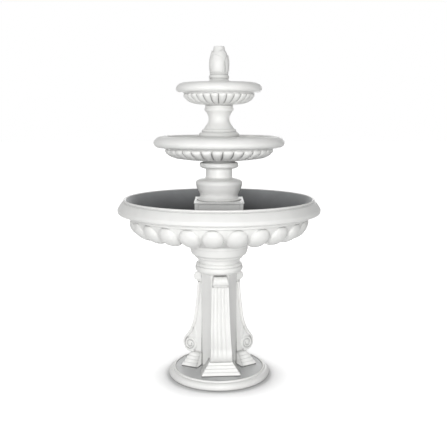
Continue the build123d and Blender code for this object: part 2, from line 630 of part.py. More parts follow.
with BuildPart() as flow_dial:
    with BuildSketch(Plane(origin=(0, PUMP_FRONT - dial_gap, dial_height), z_dir=(0, -1, 0))):
        Circle(DIAL_RADIUS)
        with PolarLocations(DIAL_RADIUS, 12):
            Circle(0.9, mode=Mode.SUBTRACT)
    extrude(amount=2.6)
    with BuildSketch(Plane.XZ.offset(dial_gap + 2.6 - PUMP_FRONT)):
        with Locations((0, dial_height)):
            Rectangle(2.2, 10.0)
    extrude(amount=1.6)
    with BuildSketch(Plane(origin=(0, PUMP_FRONT - dial_gap, dial_height), z_dir=(0, 1, 0))):
        Circle(2.0)
    extrude(amount=dial_gap + strainer_wall + 1.0)
    # gate behind the wall: it hangs over the middle slots, and a quarter turn swings it clear of them
    gate = Plane(origin=(0, PUMP_FRONT + strainer_wall + 0.5, dial_height), x_dir=(-1, 0, 0), z_dir=(0, 1, 0))
    with BuildSketch(gate):
        Circle(4.0)
        Rectangle(6.0, 14.0, align=(Align.CENTER, Align.MAX))
    extrude(amount=1.5)
finish(flow_dial, "flow_dial")

with BuildPart() as suction_cups:
    for place in [(-13.0, -19.0), (13.0, -19.0), (-11.0, 24.0), (11.0, 24.0)]:
        with BuildSketch(Plane.XY.offset(BASIN_FLOOR)):
            with Locations(place):
                Circle(6.0)
        with BuildSketch(Plane.XY.offset(BASIN_FLOOR + 3.0)):
            with Locations(place):
                Circle(2.6)
        loft()
        with BuildSketch(Plane.XY.offset(BASIN_FLOOR + 3.0)):
            with Locations(place):
                Circle(2.6)
        pump_underside = PUMP_BOTTOM if place[1] > 0 else PUMP_BOTTOM + 1.0
        extrude(amount=pump_underside - BASIN_FLOOR - 3.0)
finish(suction_cups, "suction_cups")

with BuildPart() as outlet_seal:
    with BuildSketch(Plane.XY.offset(outlet_groove)):
        Circle(RISER_BORE_RADIUS - 0.1)
        Circle(OUTLET_RADIUS - 0.6, mode=Mode.SUBTRACT)
    extrude(amount=1.4)
finish(outlet_seal, "outlet_seal")

# ---------------------------------------------------------------- plinth
plinth_inner = 2 * (PLINTH_HALF_WIDTH - PLINTH_WALL)
plinth_body = PLINTH_HALF_WIDTH - PLINTH_LIP
roof_underside = PLINTH_TOP - PLINTH_ROOF
lip_underside = PLINTH_TOP - PLINTH_LIP_HEIGHT
panel_bottom = 272.0

with BuildPart() as plinth:
    with BuildSketch(Plane.XY.offset(BASIN_FLOOR)):
        Rectangle(2 * plinth_body, 2 * plinth_body)
        Rectangle(plinth_inner, plinth_inner, mode=Mode.SUBTRACT)
    extrude(amount=roof_underside - BASIN_FLOOR)
    with BuildSketch(Plane.XY.offset(roof_underside)):
        Rectangle(2 * plinth_body, 2 * plinth_body)
    extrude(amount=PLINTH_ROOF - PLINTH_LIP_HEIGHT)
    with BuildSketch(Plane.XY.offset(lip_underside)):
        Rectangle(2 * PLINTH_HALF_WIDTH, 2 * PLINTH_HALF_WIDTH)
    extrude(amount=PLINTH_LIP_HEIGHT)
    with BuildSketch(Plane.XY.offset(roof_underside)):
        Circle(STEM_BORE_RADIUS)
    extrude(amount=PLINTH_ROOF, mode=Mode.SUBTRACT)
    # sunk panels between the corner strips, and a water inlet at the foot of each face
    for turn in range(4):
        face = Plane.XZ.rotated((0, 0, 90 * turn)).offset(plinth_body)
        with BuildSketch(face):
            with Locations((0, panel_bottom)):
                Rectangle(2 * (plinth_body - PLINTH_STRIP), lip_underside - 1.4 - panel_bottom,
                          align=(Align.CENTER, Align.MIN))
        extrude(amount=-PLINTH_PANEL_DEPTH, mode=Mode.SUBTRACT)
        with BuildSketch(face):
            with Locations((0, BASIN_FLOOR)):
                Rectangle(NOTCH_WIDTH, NOTCH_HEIGHT, align=(Align.CENTER, Align.MIN))
        extrude(amount=-2 * PLINTH_WALL, mode=Mode.SUBTRACT)
finish(plinth, "plinth")

# ---------------------------------------------------------------- lower stem
stem_ring_top = 396.0

with BuildPart() as lower_stem:
    with BuildSketch(SECTION):
        with BuildLine():
            Polyline((STEM_BORE_RADIUS, PLINTH_TOP), (41.0, PLINTH_TOP), (41.0, 331.0), (39.6, 331.6))
            ThreePointArc((39.6, 331.6), (35.9, 333.6), (34.3, 337.6))
            Polyline((34.3, 337.6), (34.6, 342.2), (35.8, 343.2))
            ThreePointArc((35.8, 343.2), (39.6, 350.6), (BULB_RADIUS, 358.6))
            ThreePointArc((BULB_RADIUS, 358.6), (41.2, 362.9), (38.4, 365.6))
            Line((38.4, 365.6), (29.0, 368.0))
            ThreePointArc((29.0, 368.0), (25.0, 369.4), (23.6, 373.0))
            Polyline((23.6, 373.0), (23.6, 384.5), (25.0, 386.2), (31.0, 387.2))
            ThreePointArc((31.0, 387.2), (34.0, 388.6), (STEM_RING_RADIUS, 392.0))
            ThreePointArc((STEM_RING_RADIUS, 392.0), (34.2, 394.8), (32.0, stem_ring_top))
            # a low rim round the top hides the rubber seal
            Polyline((32.0, stem_ring_top), (29.0, stem_ring_top), (29.0, MIDDLE_BOTTOM - 0.3),
                     (26.6, MIDDLE_BOTTOM - 0.3), (26.6, MIDDLE_BOTTOM - SEAL_THICKNESS),
                     (STEM_BORE_RADIUS, MIDDLE_BOTTOM - SEAL_THICKNESS), (STEM_BORE_RADIUS, PLINTH_TOP))
        make_face()
    revolve(axis=Axis.Z)
finish(lower_stem, "lower_stem")

# ---------------------------------------------------------------- middle bowl
middle_flat = 44.0


def middle_inside():
    """Draw the middle bowl's inside from the floor's edge up to the crest."""
    Line((middle_flat, MIDDLE_FLOOR), (74, 412.4))
    ThreePointArc((74, 412.4), (84.6, 416.6), (91, 424))
    Line((91, 424), (96.2, MIDDLE_CREST - 1.2))


def middle_space():
    """Draw the section of the space inside the middle bowl."""
    middle_inside()
    Polyline((96.2, MIDDLE_CREST - 1.2), (0, MIDDLE_CREST - 1.2), (0, MIDDLE_FLOOR),
             (middle_flat, MIDDLE_FLOOR))


with BuildPart() as middle_share:
    with BuildSketch(radial_plane(-180.0 / MIDDLE_GADROONS)):
        with BuildLine():
            Polyline((STEM_BORE_RADIUS, MIDDLE_BOTTOM), (34, MIDDLE_BOTTOM), (36, MIDDLE_BOTTOM + 1.6),
                     (76, 407.0))
            ThreePointArc((76, 407.0), (89, 411.6), (95.6, 421.4))
            Polyline((95.6, 421.4), (99.4, 421.4), (99.4, 423.2), (109.5, 424.4))
            ThreePointArc((109.5, 424.4), (115.4, 427.2), (MIDDLE_RADIUS, 432.4))
            ThreePointArc((MIDDLE_RADIUS, 432.4), (112.6, 438.8), (99.6, MIDDLE_CREST - 0.4))
            ThreePointArc((99.6, MIDDLE_CREST - 0.4), (97.8, MIDDLE_CREST), (96.2, MIDDLE_CREST - 1.2))
            middle_inside()
            Polyline((middle_flat, MIDDLE_FLOOR), (STEM_BORE_RADIUS, MIDDLE_FLOOR),
                     (STEM_BORE_RADIUS, MIDDLE_BOTTOM))
        make_face()
    revolve(axis=Axis.Z, revolution_arc=360.0 / MIDDLE_GADROONS)
    add(gadroon((36.0, 406.0), (86.2, 414.2), 4.4, 9.2, MIDDLE_GADROONS, middle_space))

with BuildPart() as middle_bowl:
    with PolarLocations(0, MIDDLE_GADROONS, start_angle=MIDDLE_GADROON_ANGLE):
        add(middle_share.part)
finish(middle_bowl, "middle_bowl")

# ---------------------------------------------------------------- upper stem
with BuildPart() as upper_stem:
    with BuildSketch(SECTION):
        with BuildLine():
            foot = MIDDLE_FLOOR + SEAL_THICKNESS
            Polyline((STEM_BORE_RADIUS, foot), (38.5, foot), (38.5, 412.5), (36.4, 414.0), (36.4, 445.0))
            ThreePointArc((36.4, 445.0), (35.2, 448.6), (33.0, 451.0))
            Polyline((33.0, 451.0), (31.0, 452.0), (30.6, 454.8), (26.4, 456.6), (25.8, 458.8))
            ThreePointArc((25.8, 458.8), (19.9, 466.2), (18.4, 473.6))
            ThreePointArc((18.4, 473.6), (19.4, 481.4), (23.4, 486.8))
            Line((23.4, 486.8), (24.6, 487.8))
            ThreePointArc((24.6, 487.8), (26.2, 490.9), (24.4, 493.8))
            Polyline((24.4, 493.8), (23.0, 494.4), (24.2, 495.0), (24.2, TOP_BOTTOM - 0.3),
                     (21.6, TOP_BOTTOM - 0.3), (21.6, TOP_BOTTOM - SEAL_THICKNESS),
                     (STEM_BORE_RADIUS, TOP_BOTTOM - SEAL_THICKNESS), (STEM_BORE_RADIUS, foot))
        make_face()
    revolve(axis=Axis.Z)
finish(upper_stem, "upper_stem")

# ---------------------------------------------------------------- top bowl
top_flat = 30.0


def top_inside():
    """Draw the top bowl's inside from the floor's edge up to the crest."""
    Line((top_flat, TOP_FLOOR), (43, 507.4))
    ThreePointArc((43, 507.4), (52.2, 511.8), (57.2, 519))
    Line((57.2, 519), (62.2, TOP_CREST - 1))


def top_space():
    """Draw the section of the space inside the top bowl."""
    top_inside()
    Polyline((62.2, TOP_CREST - 1), (0, TOP_CREST - 1), (0, TOP_FLOOR), (top_flat, TOP_FLOOR))


with BuildPart() as top_share:
    with BuildSketch(radial_plane(-180.0 / TOP_GADROONS)):
        with BuildLine():
            Polyline((STEM_BORE_RADIUS, TOP_BOTTOM), (26, TOP_BOTTOM), (44, 502.4))
            ThreePointArc((44, 502.4), (55.8, 508.0), (61.6, 518.0))
            Polyline((61.6, 518.0), (63.8, 518.0), (63.8, 519.4), (70.0, 520.4))
            ThreePointArc((70.0, 520.4), (74.8, 522.8), (TOP_RADIUS, 527.4))
            ThreePointArc((TOP_RADIUS, 527.4), (73.0, 533.4), (65.4, TOP_CREST - 0.3))
            ThreePointArc((65.4, TOP_CREST - 0.3), (63.6, TOP_CREST), (62.2, TOP_CREST - 1))
            top_inside()
            Polyline((top_flat, TOP_FLOOR), (STEM_BORE_RADIUS, TOP_FLOOR), (STEM_BORE_RADIUS, TOP_BOTTOM))
        make_face()
    revolve(axis=Axis.Z, revolution_arc=360.0 / TOP_GADROONS)
    add(gadroon((27.0, 503.6), (54.6, 510.2), 3.6, 6.8, TOP_GADROONS, top_space))

with BuildPart() as top_bowl:
    with PolarLocations(0, TOP_GADROONS, start_angle=TOP_GADROON_ANGLE):
        add(top_share.part)
finish(top_bowl, "top_bowl")

# ---------------------------------------------------------------- riser pipe, nuts and seals
with BuildPart() as riser_pipe:
    with BuildSketch(Plane.XY.offset(RISER_BOTTOM)):
        Circle(RISER_RADIUS)
        Circle(RISER_BORE_RADIUS, mode=Mode.SUBTRACT)
    extrude(amount=RISER_TOP - RISER_BOTTOM)
finish(riser_pipe, "riser_pipe")

washer_thickness = 1.5
with BuildPart() as clamp_washers:
    for height in (roof_underside - washer_thickness, TOP_FLOOR):
        with BuildSketch(Plane.XY.offset(height)):
            Circle(12.5)
            Circle(RISER_RADIUS, mode=Mode.SUBTRACT)
        extrude(amount=washer_thickness)
finish(clamp_washers, "clamp_washers")

with BuildPart() as clamp_nuts:
    for height in (roof_underside - washer_thickness - NUT_HEIGHT, TOP_FLOOR + washer_thickness):
        with BuildSketch(Plane.XY.offset(height)):
            RegularPolygon(NUT_ACROSS_FLATS / 2, 6, major_radius=False)
            Circle(RISER_RADIUS, mode=Mode.SUBTRACT)
        extrude(amount=NUT_HEIGHT)
finish(clamp_nuts, "clamp_nuts")

with BuildPart() as stem_seals:
    for height, radius in ((MIDDLE_BOTTOM - SEAL_THICKNESS, 26.0), (MIDDLE_FLOOR, 35.0),
                           (TOP_BOTTOM - SEAL_THICKNESS, 21.0)):
        with BuildSketch(Plane.XY.offset(height)):
            Circle(radius)
            Circle(STEM_BORE_RADIUS, mode=Mode.SUBTRACT)
        extrude(amount=SEAL_THICKNESS)
finish(stem_seals, "stem_seals")

with BuildPart() as nozzle:
    with BuildSketch(SECTION):
        with BuildLine():
            Polyline((2.1, RISER_TOP - 10), (RISER_BORE_RADIUS, RISER_TOP - 10),
                     (RISER_BORE_RADIUS, RISER_TOP), (RISER_RADIUS, RISER_TOP),
                     (RISER_RADIUS, RISER_TOP + 1.6), (3.4, RISER_TOP + 2.6),
                     (3.4, TOTAL_HEIGHT - 2), (2.1, TOTAL_HEIGHT - 2), close=True)
        make_face()
    revolve(axis=Axis.Z)
finish(nozzle, "nozzle")

# ---------------------------------------------------------------- finial
leaf_reach = 9.3
leaf_half_width = 8.3
leaf_foot = 551.5
leaf_tip = 589.5

with BuildPart(mode=Mode.PRIVATE) as leaf:
    leaf_plane = Plane(origin=(leaf_reach, 0, leaf_foot), x_dir=(0, 0, 1), z_dir=(0, -1, 0))
    with BuildSketch(leaf_plane):
        with BuildLine():
            ThreePointArc((0, 0), ((leaf_tip - leaf_foot) / 2, leaf_half_width), (leaf_tip - leaf_foot, 0))
            Line((leaf_tip - leaf_foot, 0), (0, 0))
        make_face()
    revolve(axis=Axis(leaf_plane.origin, (0, 0, 1)))

with BuildPart() as finial:
    with BuildSketch(SECTION):
        with BuildLine():
            seat = TOP_FLOOR
            Polyline((0, seat), (FINIAL_FOOT_RADIUS, seat), (FINIAL_FOOT_RADIUS, 538.4))
            ThreePointArc((FINIAL_FOOT_RADIUS, 538.4), (20.6, 540.4), (18.8, 541.4))
            Polyline((18.8, 541.4), (17.4, 543.0))
            ThreePointArc((17.4, 543.0), (18.4, 544.8), (17.0, 546.4))
            Line((17.0, 546.4), (14.0, 549.4))
            ThreePointArc((14.0, 549.4), (13.7, 551.0), (14.2, 552.4))
            ThreePointArc((14.2, 552.4), (16.6, 560.0), (16.2, 570.0))
            ThreePointArc((16.2, 570.0), (14.6, 584.0), (8.4, 598.2))
            Polyline((8.4, 598.2), (7.2, TOTAL_HEIGHT), (0, TOTAL_HEIGHT), (0, seat))
        make_face()
    revolve(axis=Axis.Z)
    with PolarLocations(0, FINIAL_LEAVES, start_angle=-90.0):
        add(leaf.part)
    # socket over the upper nut, pipe bore and the mouth at the tip
    with BuildSketch(SECTION):
        with BuildLine():
            Polyline((0, TOP_FLOOR), (14.5, TOP_FLOOR), (14.5, 516.0), (RISER_RADIUS + 0.5, 522.0),
                     (RISER_RADIUS + 0.5, RISER_TOP + 2.4), (FINIAL_MOUTH_RADIUS, RISER_TOP + 4.0),
                     (FINIAL_MOUTH_RADIUS, TOTAL_HEIGHT), (0, TOTAL_HEIGHT), close=True)
        make_face()
    revolve(axis=Axis.Z, mode=Mode.SUBTRACT)
finish(finial, "finial")
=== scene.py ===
import json
import math

import bmesh
import bpy
from bpy.props import FloatProperty, FloatVectorProperty, IntProperty, PointerProperty
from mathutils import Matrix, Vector
from mathutils.kdtree import KDTree


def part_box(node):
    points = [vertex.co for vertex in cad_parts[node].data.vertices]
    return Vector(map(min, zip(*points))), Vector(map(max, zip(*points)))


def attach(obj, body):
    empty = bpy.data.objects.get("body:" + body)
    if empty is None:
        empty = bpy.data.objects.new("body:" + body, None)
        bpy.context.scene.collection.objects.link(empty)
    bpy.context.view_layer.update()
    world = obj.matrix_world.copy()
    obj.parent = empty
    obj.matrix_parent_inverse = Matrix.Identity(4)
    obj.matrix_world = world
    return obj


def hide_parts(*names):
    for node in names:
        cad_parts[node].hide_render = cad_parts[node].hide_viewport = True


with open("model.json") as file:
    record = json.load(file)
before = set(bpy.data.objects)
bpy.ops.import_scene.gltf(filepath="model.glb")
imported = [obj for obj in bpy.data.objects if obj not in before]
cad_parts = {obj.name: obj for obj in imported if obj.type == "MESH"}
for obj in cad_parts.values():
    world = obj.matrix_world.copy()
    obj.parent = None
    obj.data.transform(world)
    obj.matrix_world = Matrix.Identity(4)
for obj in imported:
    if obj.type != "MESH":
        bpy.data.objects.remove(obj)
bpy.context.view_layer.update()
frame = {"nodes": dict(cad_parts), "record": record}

bl_info = {
    "name": "Tabletop Water Fountain",
    "version": (1, 0, 0),
    "blender": (4, 5, 0),
    "location": "View3D > Sidebar > Fountain",
    "description": "Dresses a three-tier cast-resin fountain over its CAD frame and lights it",
    "category": "Object",
}

MM = 0.001
LEG_NAMES = ("leg_front", "leg_back_right", "leg_back_left")
LEG_ANGLES = (-90.0, 30.0, 150.0)
FRONT = -90.0
# in millimetres: the radius of the hole for the riser pipe, and how far out the legs meet the core
BORE = 6.4
CORE_FACE = 28.1


# ---- colour and material tools

def linear(code):
    """The linear colour of an sRGB hex value such as #f2f1ee."""
    shares = [int(code[i:i + 2], 16) / 255 for i in (1, 3, 5)]
    return tuple(s / 12.92 if s <= 0.04045 else ((s + 0.055) / 1.055) ** 2.4 for s in shares)


def feed(tree, made, links):
    """Give a node's inputs, by name or number, each a value or another node's output."""
    for name, value in links.items():
        socket = made.inputs[name]
        if isinstance(value, bpy.types.NodeSocket):
            tree.links.new(value, socket)
        else:
            socket.default_value = value


def node(tree, kind, links=None, stops=(), **settings):
    """Add a node: settings name its properties, links its inputs and stops a colour ramp's places."""
    made = tree.nodes.new(kind)
    for name, value in settings.items():
        setattr(made, name, value)
    for k, (place, colour) in enumerate(stops):
        made.color_ramp.elements[k].position = place
        made.color_ramp.elements[k].color = (*colour, 1)
    feed(tree, made, links or {})
    return made


def blank(name):
    """A new material with only its Principled shader, as (material, node tree, shader)."""
    material = bpy.data.materials.new(name)
    material.use_nodes = True
    tree = material.node_tree
    return material, tree, tree.nodes["Principled BSDF"]


def per_metre(size_mm):
    """The scale that makes one period of a pattern this many millimetres."""
    return 1000.0 / size_mm


def toned(colour, share):
    """The colour with each channel multiplied by this share."""
    return tuple(channel * share for channel in colour)


def dulled(tree, colour, level, low, high, share):
    """The colour, taken down to a share of itself as level falls from high to low."""
    tone = node(tree, "ShaderNodeMapRange", {"Value": level, "From Min": low, "From Max": high,
                                             "To Min": share})
    return node(tree, "ShaderNodeVectorMath", {0: colour, "Scale": tone.outputs["Result"]},
                operation="SCALE").outputs["Vector"]


def crease_shade(tree, colour, reach, share):
    """The colour with painted shade, dulled to a share of itself in creases finer than reach millimetres,
    where ambient occlusion falls.
    """
    near = node(tree, "ShaderNodeAmbientOcclusion", {"Distance": reach * MM}, samples=8)
    return dulled(tree, colour, near.outputs["AO"], 0.35, 0.9, share)


def shade_towards_bottom(tree, place, colour, low, high, share):
    """The colour with painted shade, darkened to a share of itself from high down to low in millimetres."""
    up = node(tree, "ShaderNodeSeparateXYZ", {"Vector": place}).outputs["Z"]
    return dulled(tree, colour, up, low * MM, high * MM, share)


def streaks(tree, place, squeeze, size_mm, detail):
    """Marks this many millimetres apart going up, drawn out long and level round the piece."""
    stretch = node(tree, "ShaderNodeMapping", {"Vector": place, "Scale": (squeeze, squeeze, 1.0)})
    return node(tree, "ShaderNodeTexNoise", {"Vector": stretch.outputs["Vector"], "Detail": detail,
                                             "Scale": per_metre(size_mm)}).outputs["Fac"]


def cast_resin(colour, name="cast_resin_satin_white_spray", low_shade=None):
    """Polyester resin filled with marble dust, cast in rubber moulds and sprayed with satin white paint.
    The eye sees soft broad highlights, the faint waviness of a cast face and the spray's fine stipple, with
    painted shade in the creases and, when asked, painted shade towards the bottom."""
    material, tree, shader = blank(name)
    place = node(tree, "ShaderNodeTexCoord").outputs["Object"]
    cloud = node(tree, "ShaderNodeTexNoise", {"Vector": place, "Scale": per_metre(55), "Detail": 4.0})
    paint = node(tree, "ShaderNodeValToRGB", {"Fac": cloud.outputs["Fac"]},
                 stops=((0.3, toned(colour, 0.94)), (0.62, colour))).outputs["Color"]
    # painted shade: the paint darkens in creases, where the ambient occlusion falls
    paint = crease_shade(tree, paint, 4.0, 0.42)
    if low_shade:
        # painted shade: the colour darkens towards the bottom
        paint = shade_towards_bottom(tree, place, paint, *low_shade)
    wave = node(tree, "ShaderNodeTexNoise", {"Vector": place, "Scale": per_metre(16), "Detail": 2.0})
    # the stipple of a spray gun is about 0.3 mm, drawn at 1.2 mm so that it shows
    stipple = node(tree, "ShaderNodeTexNoise", {"Vector": place, "Scale": per_metre(1.2), "Detail": 3.0})
    shine = node(tree, "ShaderNodeMapRange", {"Value": stipple.outputs["Fac"], "To Min": 0.40,
                                              "To Max": 0.52})
    soft = node(tree, "ShaderNodeBump", {"Height": wave.outputs["Fac"], "Strength": 0.25,
                                         "Distance": 0.35 * MM})
    fine = node(tree, "ShaderNodeBump", {"Height": stipple.outputs["Fac"], "Normal": soft.outputs["Normal"],
                                         "Strength": 0.35, "Distance": 0.06 * MM})
    feed(tree, shader, {"Base Color": paint, "Roughness": shine.outputs["Result"],
                        "Normal": fine.outputs["Normal"], "IOR": 1.5, "Coat Weight": 0.08,
                        "Coat Roughness": 0.35})
    return material


def lining_coat(name, colour, low_shade=None):
    """Two-part rubber paint, brushed on round the bowl as a waterproof lining.
    The eye sees a dull grey with long level brush marks and uneven cover and, when asked, painted shade that
    darkens it towards the bottom."""
    material, tree, shader = blank(name)
    place = node(tree, "ShaderNodeTexCoord").outputs["Object"]
    patch = node(tree, "ShaderNodeTexNoise", {"Vector": place, "Scale": per_metre(40), "Detail": 5.0})
    paint = node(tree, "ShaderNodeValToRGB", {"Fac": patch.outputs["Fac"]},
                 stops=((0.32, toned(colour, 0.86)), (0.66, colour))).outputs["Color"]
    if low_shade:
        # painted shade: the colour darkens towards the bottom
        paint = shade_towards_bottom(tree, place, paint, *low_shade)
    # brush marks about 1.5 mm apart up the wall, twenty times as long round it
    marks = streaks(tree, place, 0.05, 1.5, 2.0)
    bump = node(tree, "ShaderNodeBump", {"Height": marks, "Strength": 0.4, "Distance": 0.15 * MM})
    feed(tree, shader, {"Base Color": paint, "Normal": bump.outputs["Normal"], "Roughness": 0.55})
    return material


def moulded_rubber(colour):
    """EPDM rubber, moulded: matt, nearly black, with a faint bloom where it has been handled."""
    material, tree, shader = blank("epdm_rubber_moulded")
    place = node(tree, "ShaderNodeTexCoord").outputs["Object"]
    bloom = node(tree, "ShaderNodeTexNoise", {"Vector": place, "Scale": per_metre(6), "Detail": 4.0})
    skin = node(tree, "ShaderNodeValToRGB", {"Fac": bloom.outputs["Fac"]},
                stops=((0.45, colour), (0.8, toned(colour, 1.7))))
    feed(tree, shader, {"Base Color": skin.outputs["Color"], "Roughness": 0.75, "IOR": 1.52})
    return material


def moulded_abs(colour):
    """ABS, injection moulded in a spark-eroded tool: the eye sees an even fine grain with a low sheen."""
    material, tree, shader = blank("abs_moulded_black")
    place = node(tree, "ShaderNodeTexCoord").outputs["Object"]
    # spark erosion leaves pits of about 0.1 mm, drawn at 0.5 mm so that they show
    grain = node(tree, "ShaderNodeTexVoronoi", {"Vector": place, "Scale": per_metre(0.5)})
    bump = node(tree, "ShaderNodeBump", {"Height": grain.outputs["Distance"], "Strength": 0.3,
                                         "Distance": 0.03 * MM})
    tone = node(tree, "ShaderNodeValToRGB", {"Fac": grain.outputs["Distance"]},
                stops=((0.0, toned(colour, 0.8)), (1.0, colour)))
    feed(tree, shader, {"Base Color": tone.outputs["Color"], "Normal": bump.outputs["Normal"],
                        "Roughness": 0.42, "IOR": 1.53})
    return material


def turned_metal(name, colour, roughness, mark_mm):
    """A turned or drawn metal: fine level tool marks that pull each highlight out sideways."""
    material, tree, shader = blank(name)
    place = node(tree, "ShaderNodeTexCoord").outputs["Object"]
    marks = streaks(tree, place, 0.08, mark_mm, 3.0)
    shine = node(tree, "ShaderNodeMapRange", {"Value": marks, "To Min": roughness * 0.75,
                                              "To Max": roughness * 1.3})
    tone = node(tree, "ShaderNodeValToRGB", {"Fac": marks},
                stops=((0.3, toned(colour, 0.85)), (0.7, colour)))
    feed(tree, shader, {"Base Color": tone.outputs["Color"], "Roughness": shine.outputs["Result"],
                        "Metallic": 1.0})
    return material


def material_for(key):
    """The material of one finish, made the first time that it is asked for."""
    tints = bpy.context.scene.fountain_colours
    makers = {
        "resin": lambda: cast_resin(tuple(tints.resin)),
        # painted shade: a darker copy of the same resin, toned to 0.92, so that the basin reads less bright
        "resin_shaded_basin": lambda: cast_resin(toned(tuple(tints.resin), 0.92), "cast_resin_basin_spray"),
        # the plinth's resin, with painted shade darker towards its foot
        "resin_low_shaded": lambda: cast_resin(tuple(tints.resin), "cast_resin_water_stained", (288, 331, 0.4)),
        # the lining, with painted shade darker towards the bottom
        "lining": lambda: lining_coat("pond_paint_brushed_grey", tuple(tints.lining), (286, 334, 0.13)),
        "wash": lambda: lining_coat("grey_wash_brushed", tuple(tints.wash)),
        "rubber": lambda: moulded_rubber(tuple(tints.rubber)),
        "plastic": lambda: moulded_abs(tuple(tints.plastic)),
        "steel": lambda: turned_metal("stainless_steel_turned", tuple(tints.steel), 0.3, 0.4),
        "brass": lambda: turned_metal("brass_drawn", tuple(tints.brass), 0.26, 0.4),
    }
    found = [m for m in bpy.data.materials if m.get("finish") == key]
    if found:
        return found[0]
    material = makers[key]()
    material["finish"] = key
    return material


def coat(target, *keys):
    """Give an object these finishes as its only material slots."""
    target.data.materials.clear()
    for key in keys:
        target.data.materials.append(material_for(key))


# ---- outlines, in millimetres

def arc(start, middle, end, step=7.0):
    """Points on the arc from start through middle to end, without the start."""
    (ax, ay), (bx, by), (cx, cy) = start, middle, end
    spread = 2 * (ax * (by - cy) + bx * (cy - ay) + cx * (ay - by))
    squares = [x * x + y * y for x, y in (start, middle, end)]
    centre_x = (squares[0] * (by - cy) + squares[1] * (cy - ay) + squares[2] * (ay - by)) / spread
    centre_y = (squares[0] * (cx - bx) + squares[1] * (ax - cx) + squares[2] * (bx - ax)) / spread
    first, via, last = (math.atan2(y - centre_y, x - centre_x) for x, y in (start, middle, end))
    turn = (last - first) % math.tau
    if (via - first) % math.tau > turn:
        turn -= math.tau
    radius = math.hypot(ax - centre_x, ay - centre_y)
    count = max(3, math.ceil(abs(math.degrees(turn)) / step))
    return [(centre_x + radius * math.cos(first + turn * i / count),
             centre_y + radius * math.sin(first + turn * i / count)) for i in range(1, count + 1)]


def outline(first, *stops):
    """An outline as points: a stop is a corner, or a pair of points that an arc runs through and to."""
    points = [first]
    for stop in stops:
        points += arc(points[-1], *stop) if isinstance(stop[0], tuple) else [stop]
    return points


def softened(points, radius, closed=False):
    """The outline with each hard corner rounded, as a mould and a coat of paint leave it."""
    result = []
    last = len(points) - 1
    slight = math.radians(24)
    for i, corner in enumerate(points):
        if not closed and i in (0, last):
            result.append(corner)
            continue
        here, before, after = Vector(corner), Vector(points[i - 1]), Vector(points[(i + 1) % len(points)])
        back, on = before - here, after - here
        if min(back.length, on.length) < 1e-6 or math.pi - back.angle(on) < slight:
            result.append(corner)
            continue
        cut = min(radius, 0.45 * back.length, 0.45 * on.length)
        start, end = here + back.normalized() * cut, here + on.normalized() * cut
        for share in (0.0, 0.33, 0.67, 1.0):
            spot = start * (1 - share) ** 2 + here * 2 * share * (1 - share) + end * share ** 2
            result.append(tuple(spot))
    return result


def resampled(points, count):
    """The same line with evenly spaced points."""
    line = [Vector(p) for p in points]
    lengths = [0.0]
    for a, b in zip(line, line[1:]):
        lengths.append(lengths[-1] + (b - a).length)
    result = []
    for i in range(count):
        target = lengths[-1] * i / (count - 1)
        k = max(j for j in range(len(line) - 1) if lengths[j] <= target + 1e-9)
        share = (target - lengths[k]) / (lengths[k + 1] - lengths[k])
        result.append(tuple(line[k].lerp(line[k + 1], share)))
    return result


def smooth(share):
    """Nought to one in a soft step."""
    share = min(1.0, max(0.0, share))
    return share * share * (3 - 2 * share)


def distance_from(line, count=900):
    """A look-up that gives how far a spot lies from a drawn line."""
    tree = KDTree(count)
    for k, (x, z) in enumerate(resampled(line, count)):
        tree.insert((x, z, 0), k)
    tree.balance()
    return lambda x, z: tree.find((x, z, 0))[2]


def spiral(centre, start_angle, turns, start_radius, end_radius, count=60):
    """A line that winds clockwise towards its centre."""
    line = []
    for k in range(count):
        share = k / (count - 1)
        angle = math.radians(start_angle) - math.tau * turns * share
        radius = start_radius + (end_radius - start_radius) * share
        line.append((centre[0] + radius * math.cos(angle), centre[1] + radius * math.sin(angle)))
    return line


# ---- meshes

def piece(name, points, faces, finishes=("resin",), face_slots=None):
    """A smooth shaded mesh object from points in millimetres, with its flat faces kept flat."""
    mesh = bpy.data.meshes.new(name)
    mesh.from_pydata([tuple(c * MM for c in p) for p in points], [], faces)
    made = bpy.data.objects.new(name, mesh)
    bpy.context.scene.collection.objects.link(made)
    coat(made, *finishes)
    if face_slots:
        mesh.polygons.foreach_set("material_index", face_slots)
    mesh.update()
    tidy_mesh(mesh)
    made.modifiers.new("even_normals", "WEIGHTED_NORMAL").weight = 80
    return made


def tidy_mesh(mesh):
    """Join doubled points, turn every face outwards and shade smooth."""
    work = bmesh.new()
    work.from_mesh(mesh)
    bmesh.ops.remove_doubles(work, verts=work.verts, dist=1e-6)
    bmesh.ops.dissolve_degenerate(work, edges=work.edges, dist=1e-7)
    bmesh.ops.recalc_face_normals(work, faces=work.faces)
    for face in work.faces:
        face.smooth = True
    work.to_mesh(mesh)
    work.free()


def grid_faces(rows, columns, closed_rows=False, closed_columns=True):
    """Quads between rows of points, each row a ring of this many columns."""
    faces = []
    for row in range(rows if closed_rows else rows - 1):
        below = (row + 1) % rows
        for column in range(columns if closed_columns else columns - 1):
            beside = (column + 1) % columns
            faces.append((row * columns + column, row * columns + beside,
                          below * columns + beside, below * columns + column))
    return faces


def polar(radius, angle, height):
    """The point at this radius, angle and height about the axis."""
    return radius * math.cos(angle), radius * math.sin(angle), height


def turned(name, points, closed=True, segments=180, slots=None, **more):
    """A piece turned about the axis from points of (radius, height); slots gives rows of other finish."""
    spots = [polar(radius, math.tau * i / segments, height)
             for radius, height in points for i in range(segments)]
    faces = grid_faces(len(points), segments, closed_rows=closed)
    kinds = [slots.get(k // segments, 0) for k in range(len(faces))] if slots else None
    return piece(name, spots, faces, face_slots=kinds, **more)


def quarter(share, peak):
    """Height of a lobe along its length: an ellipse's quarter up to the peak and another down from it."""
    reach = (peak - share) / peak if share < peak else (share - peak) / (1 - peak)
    return math.sqrt(max(0.0, 1 - reach * reach))


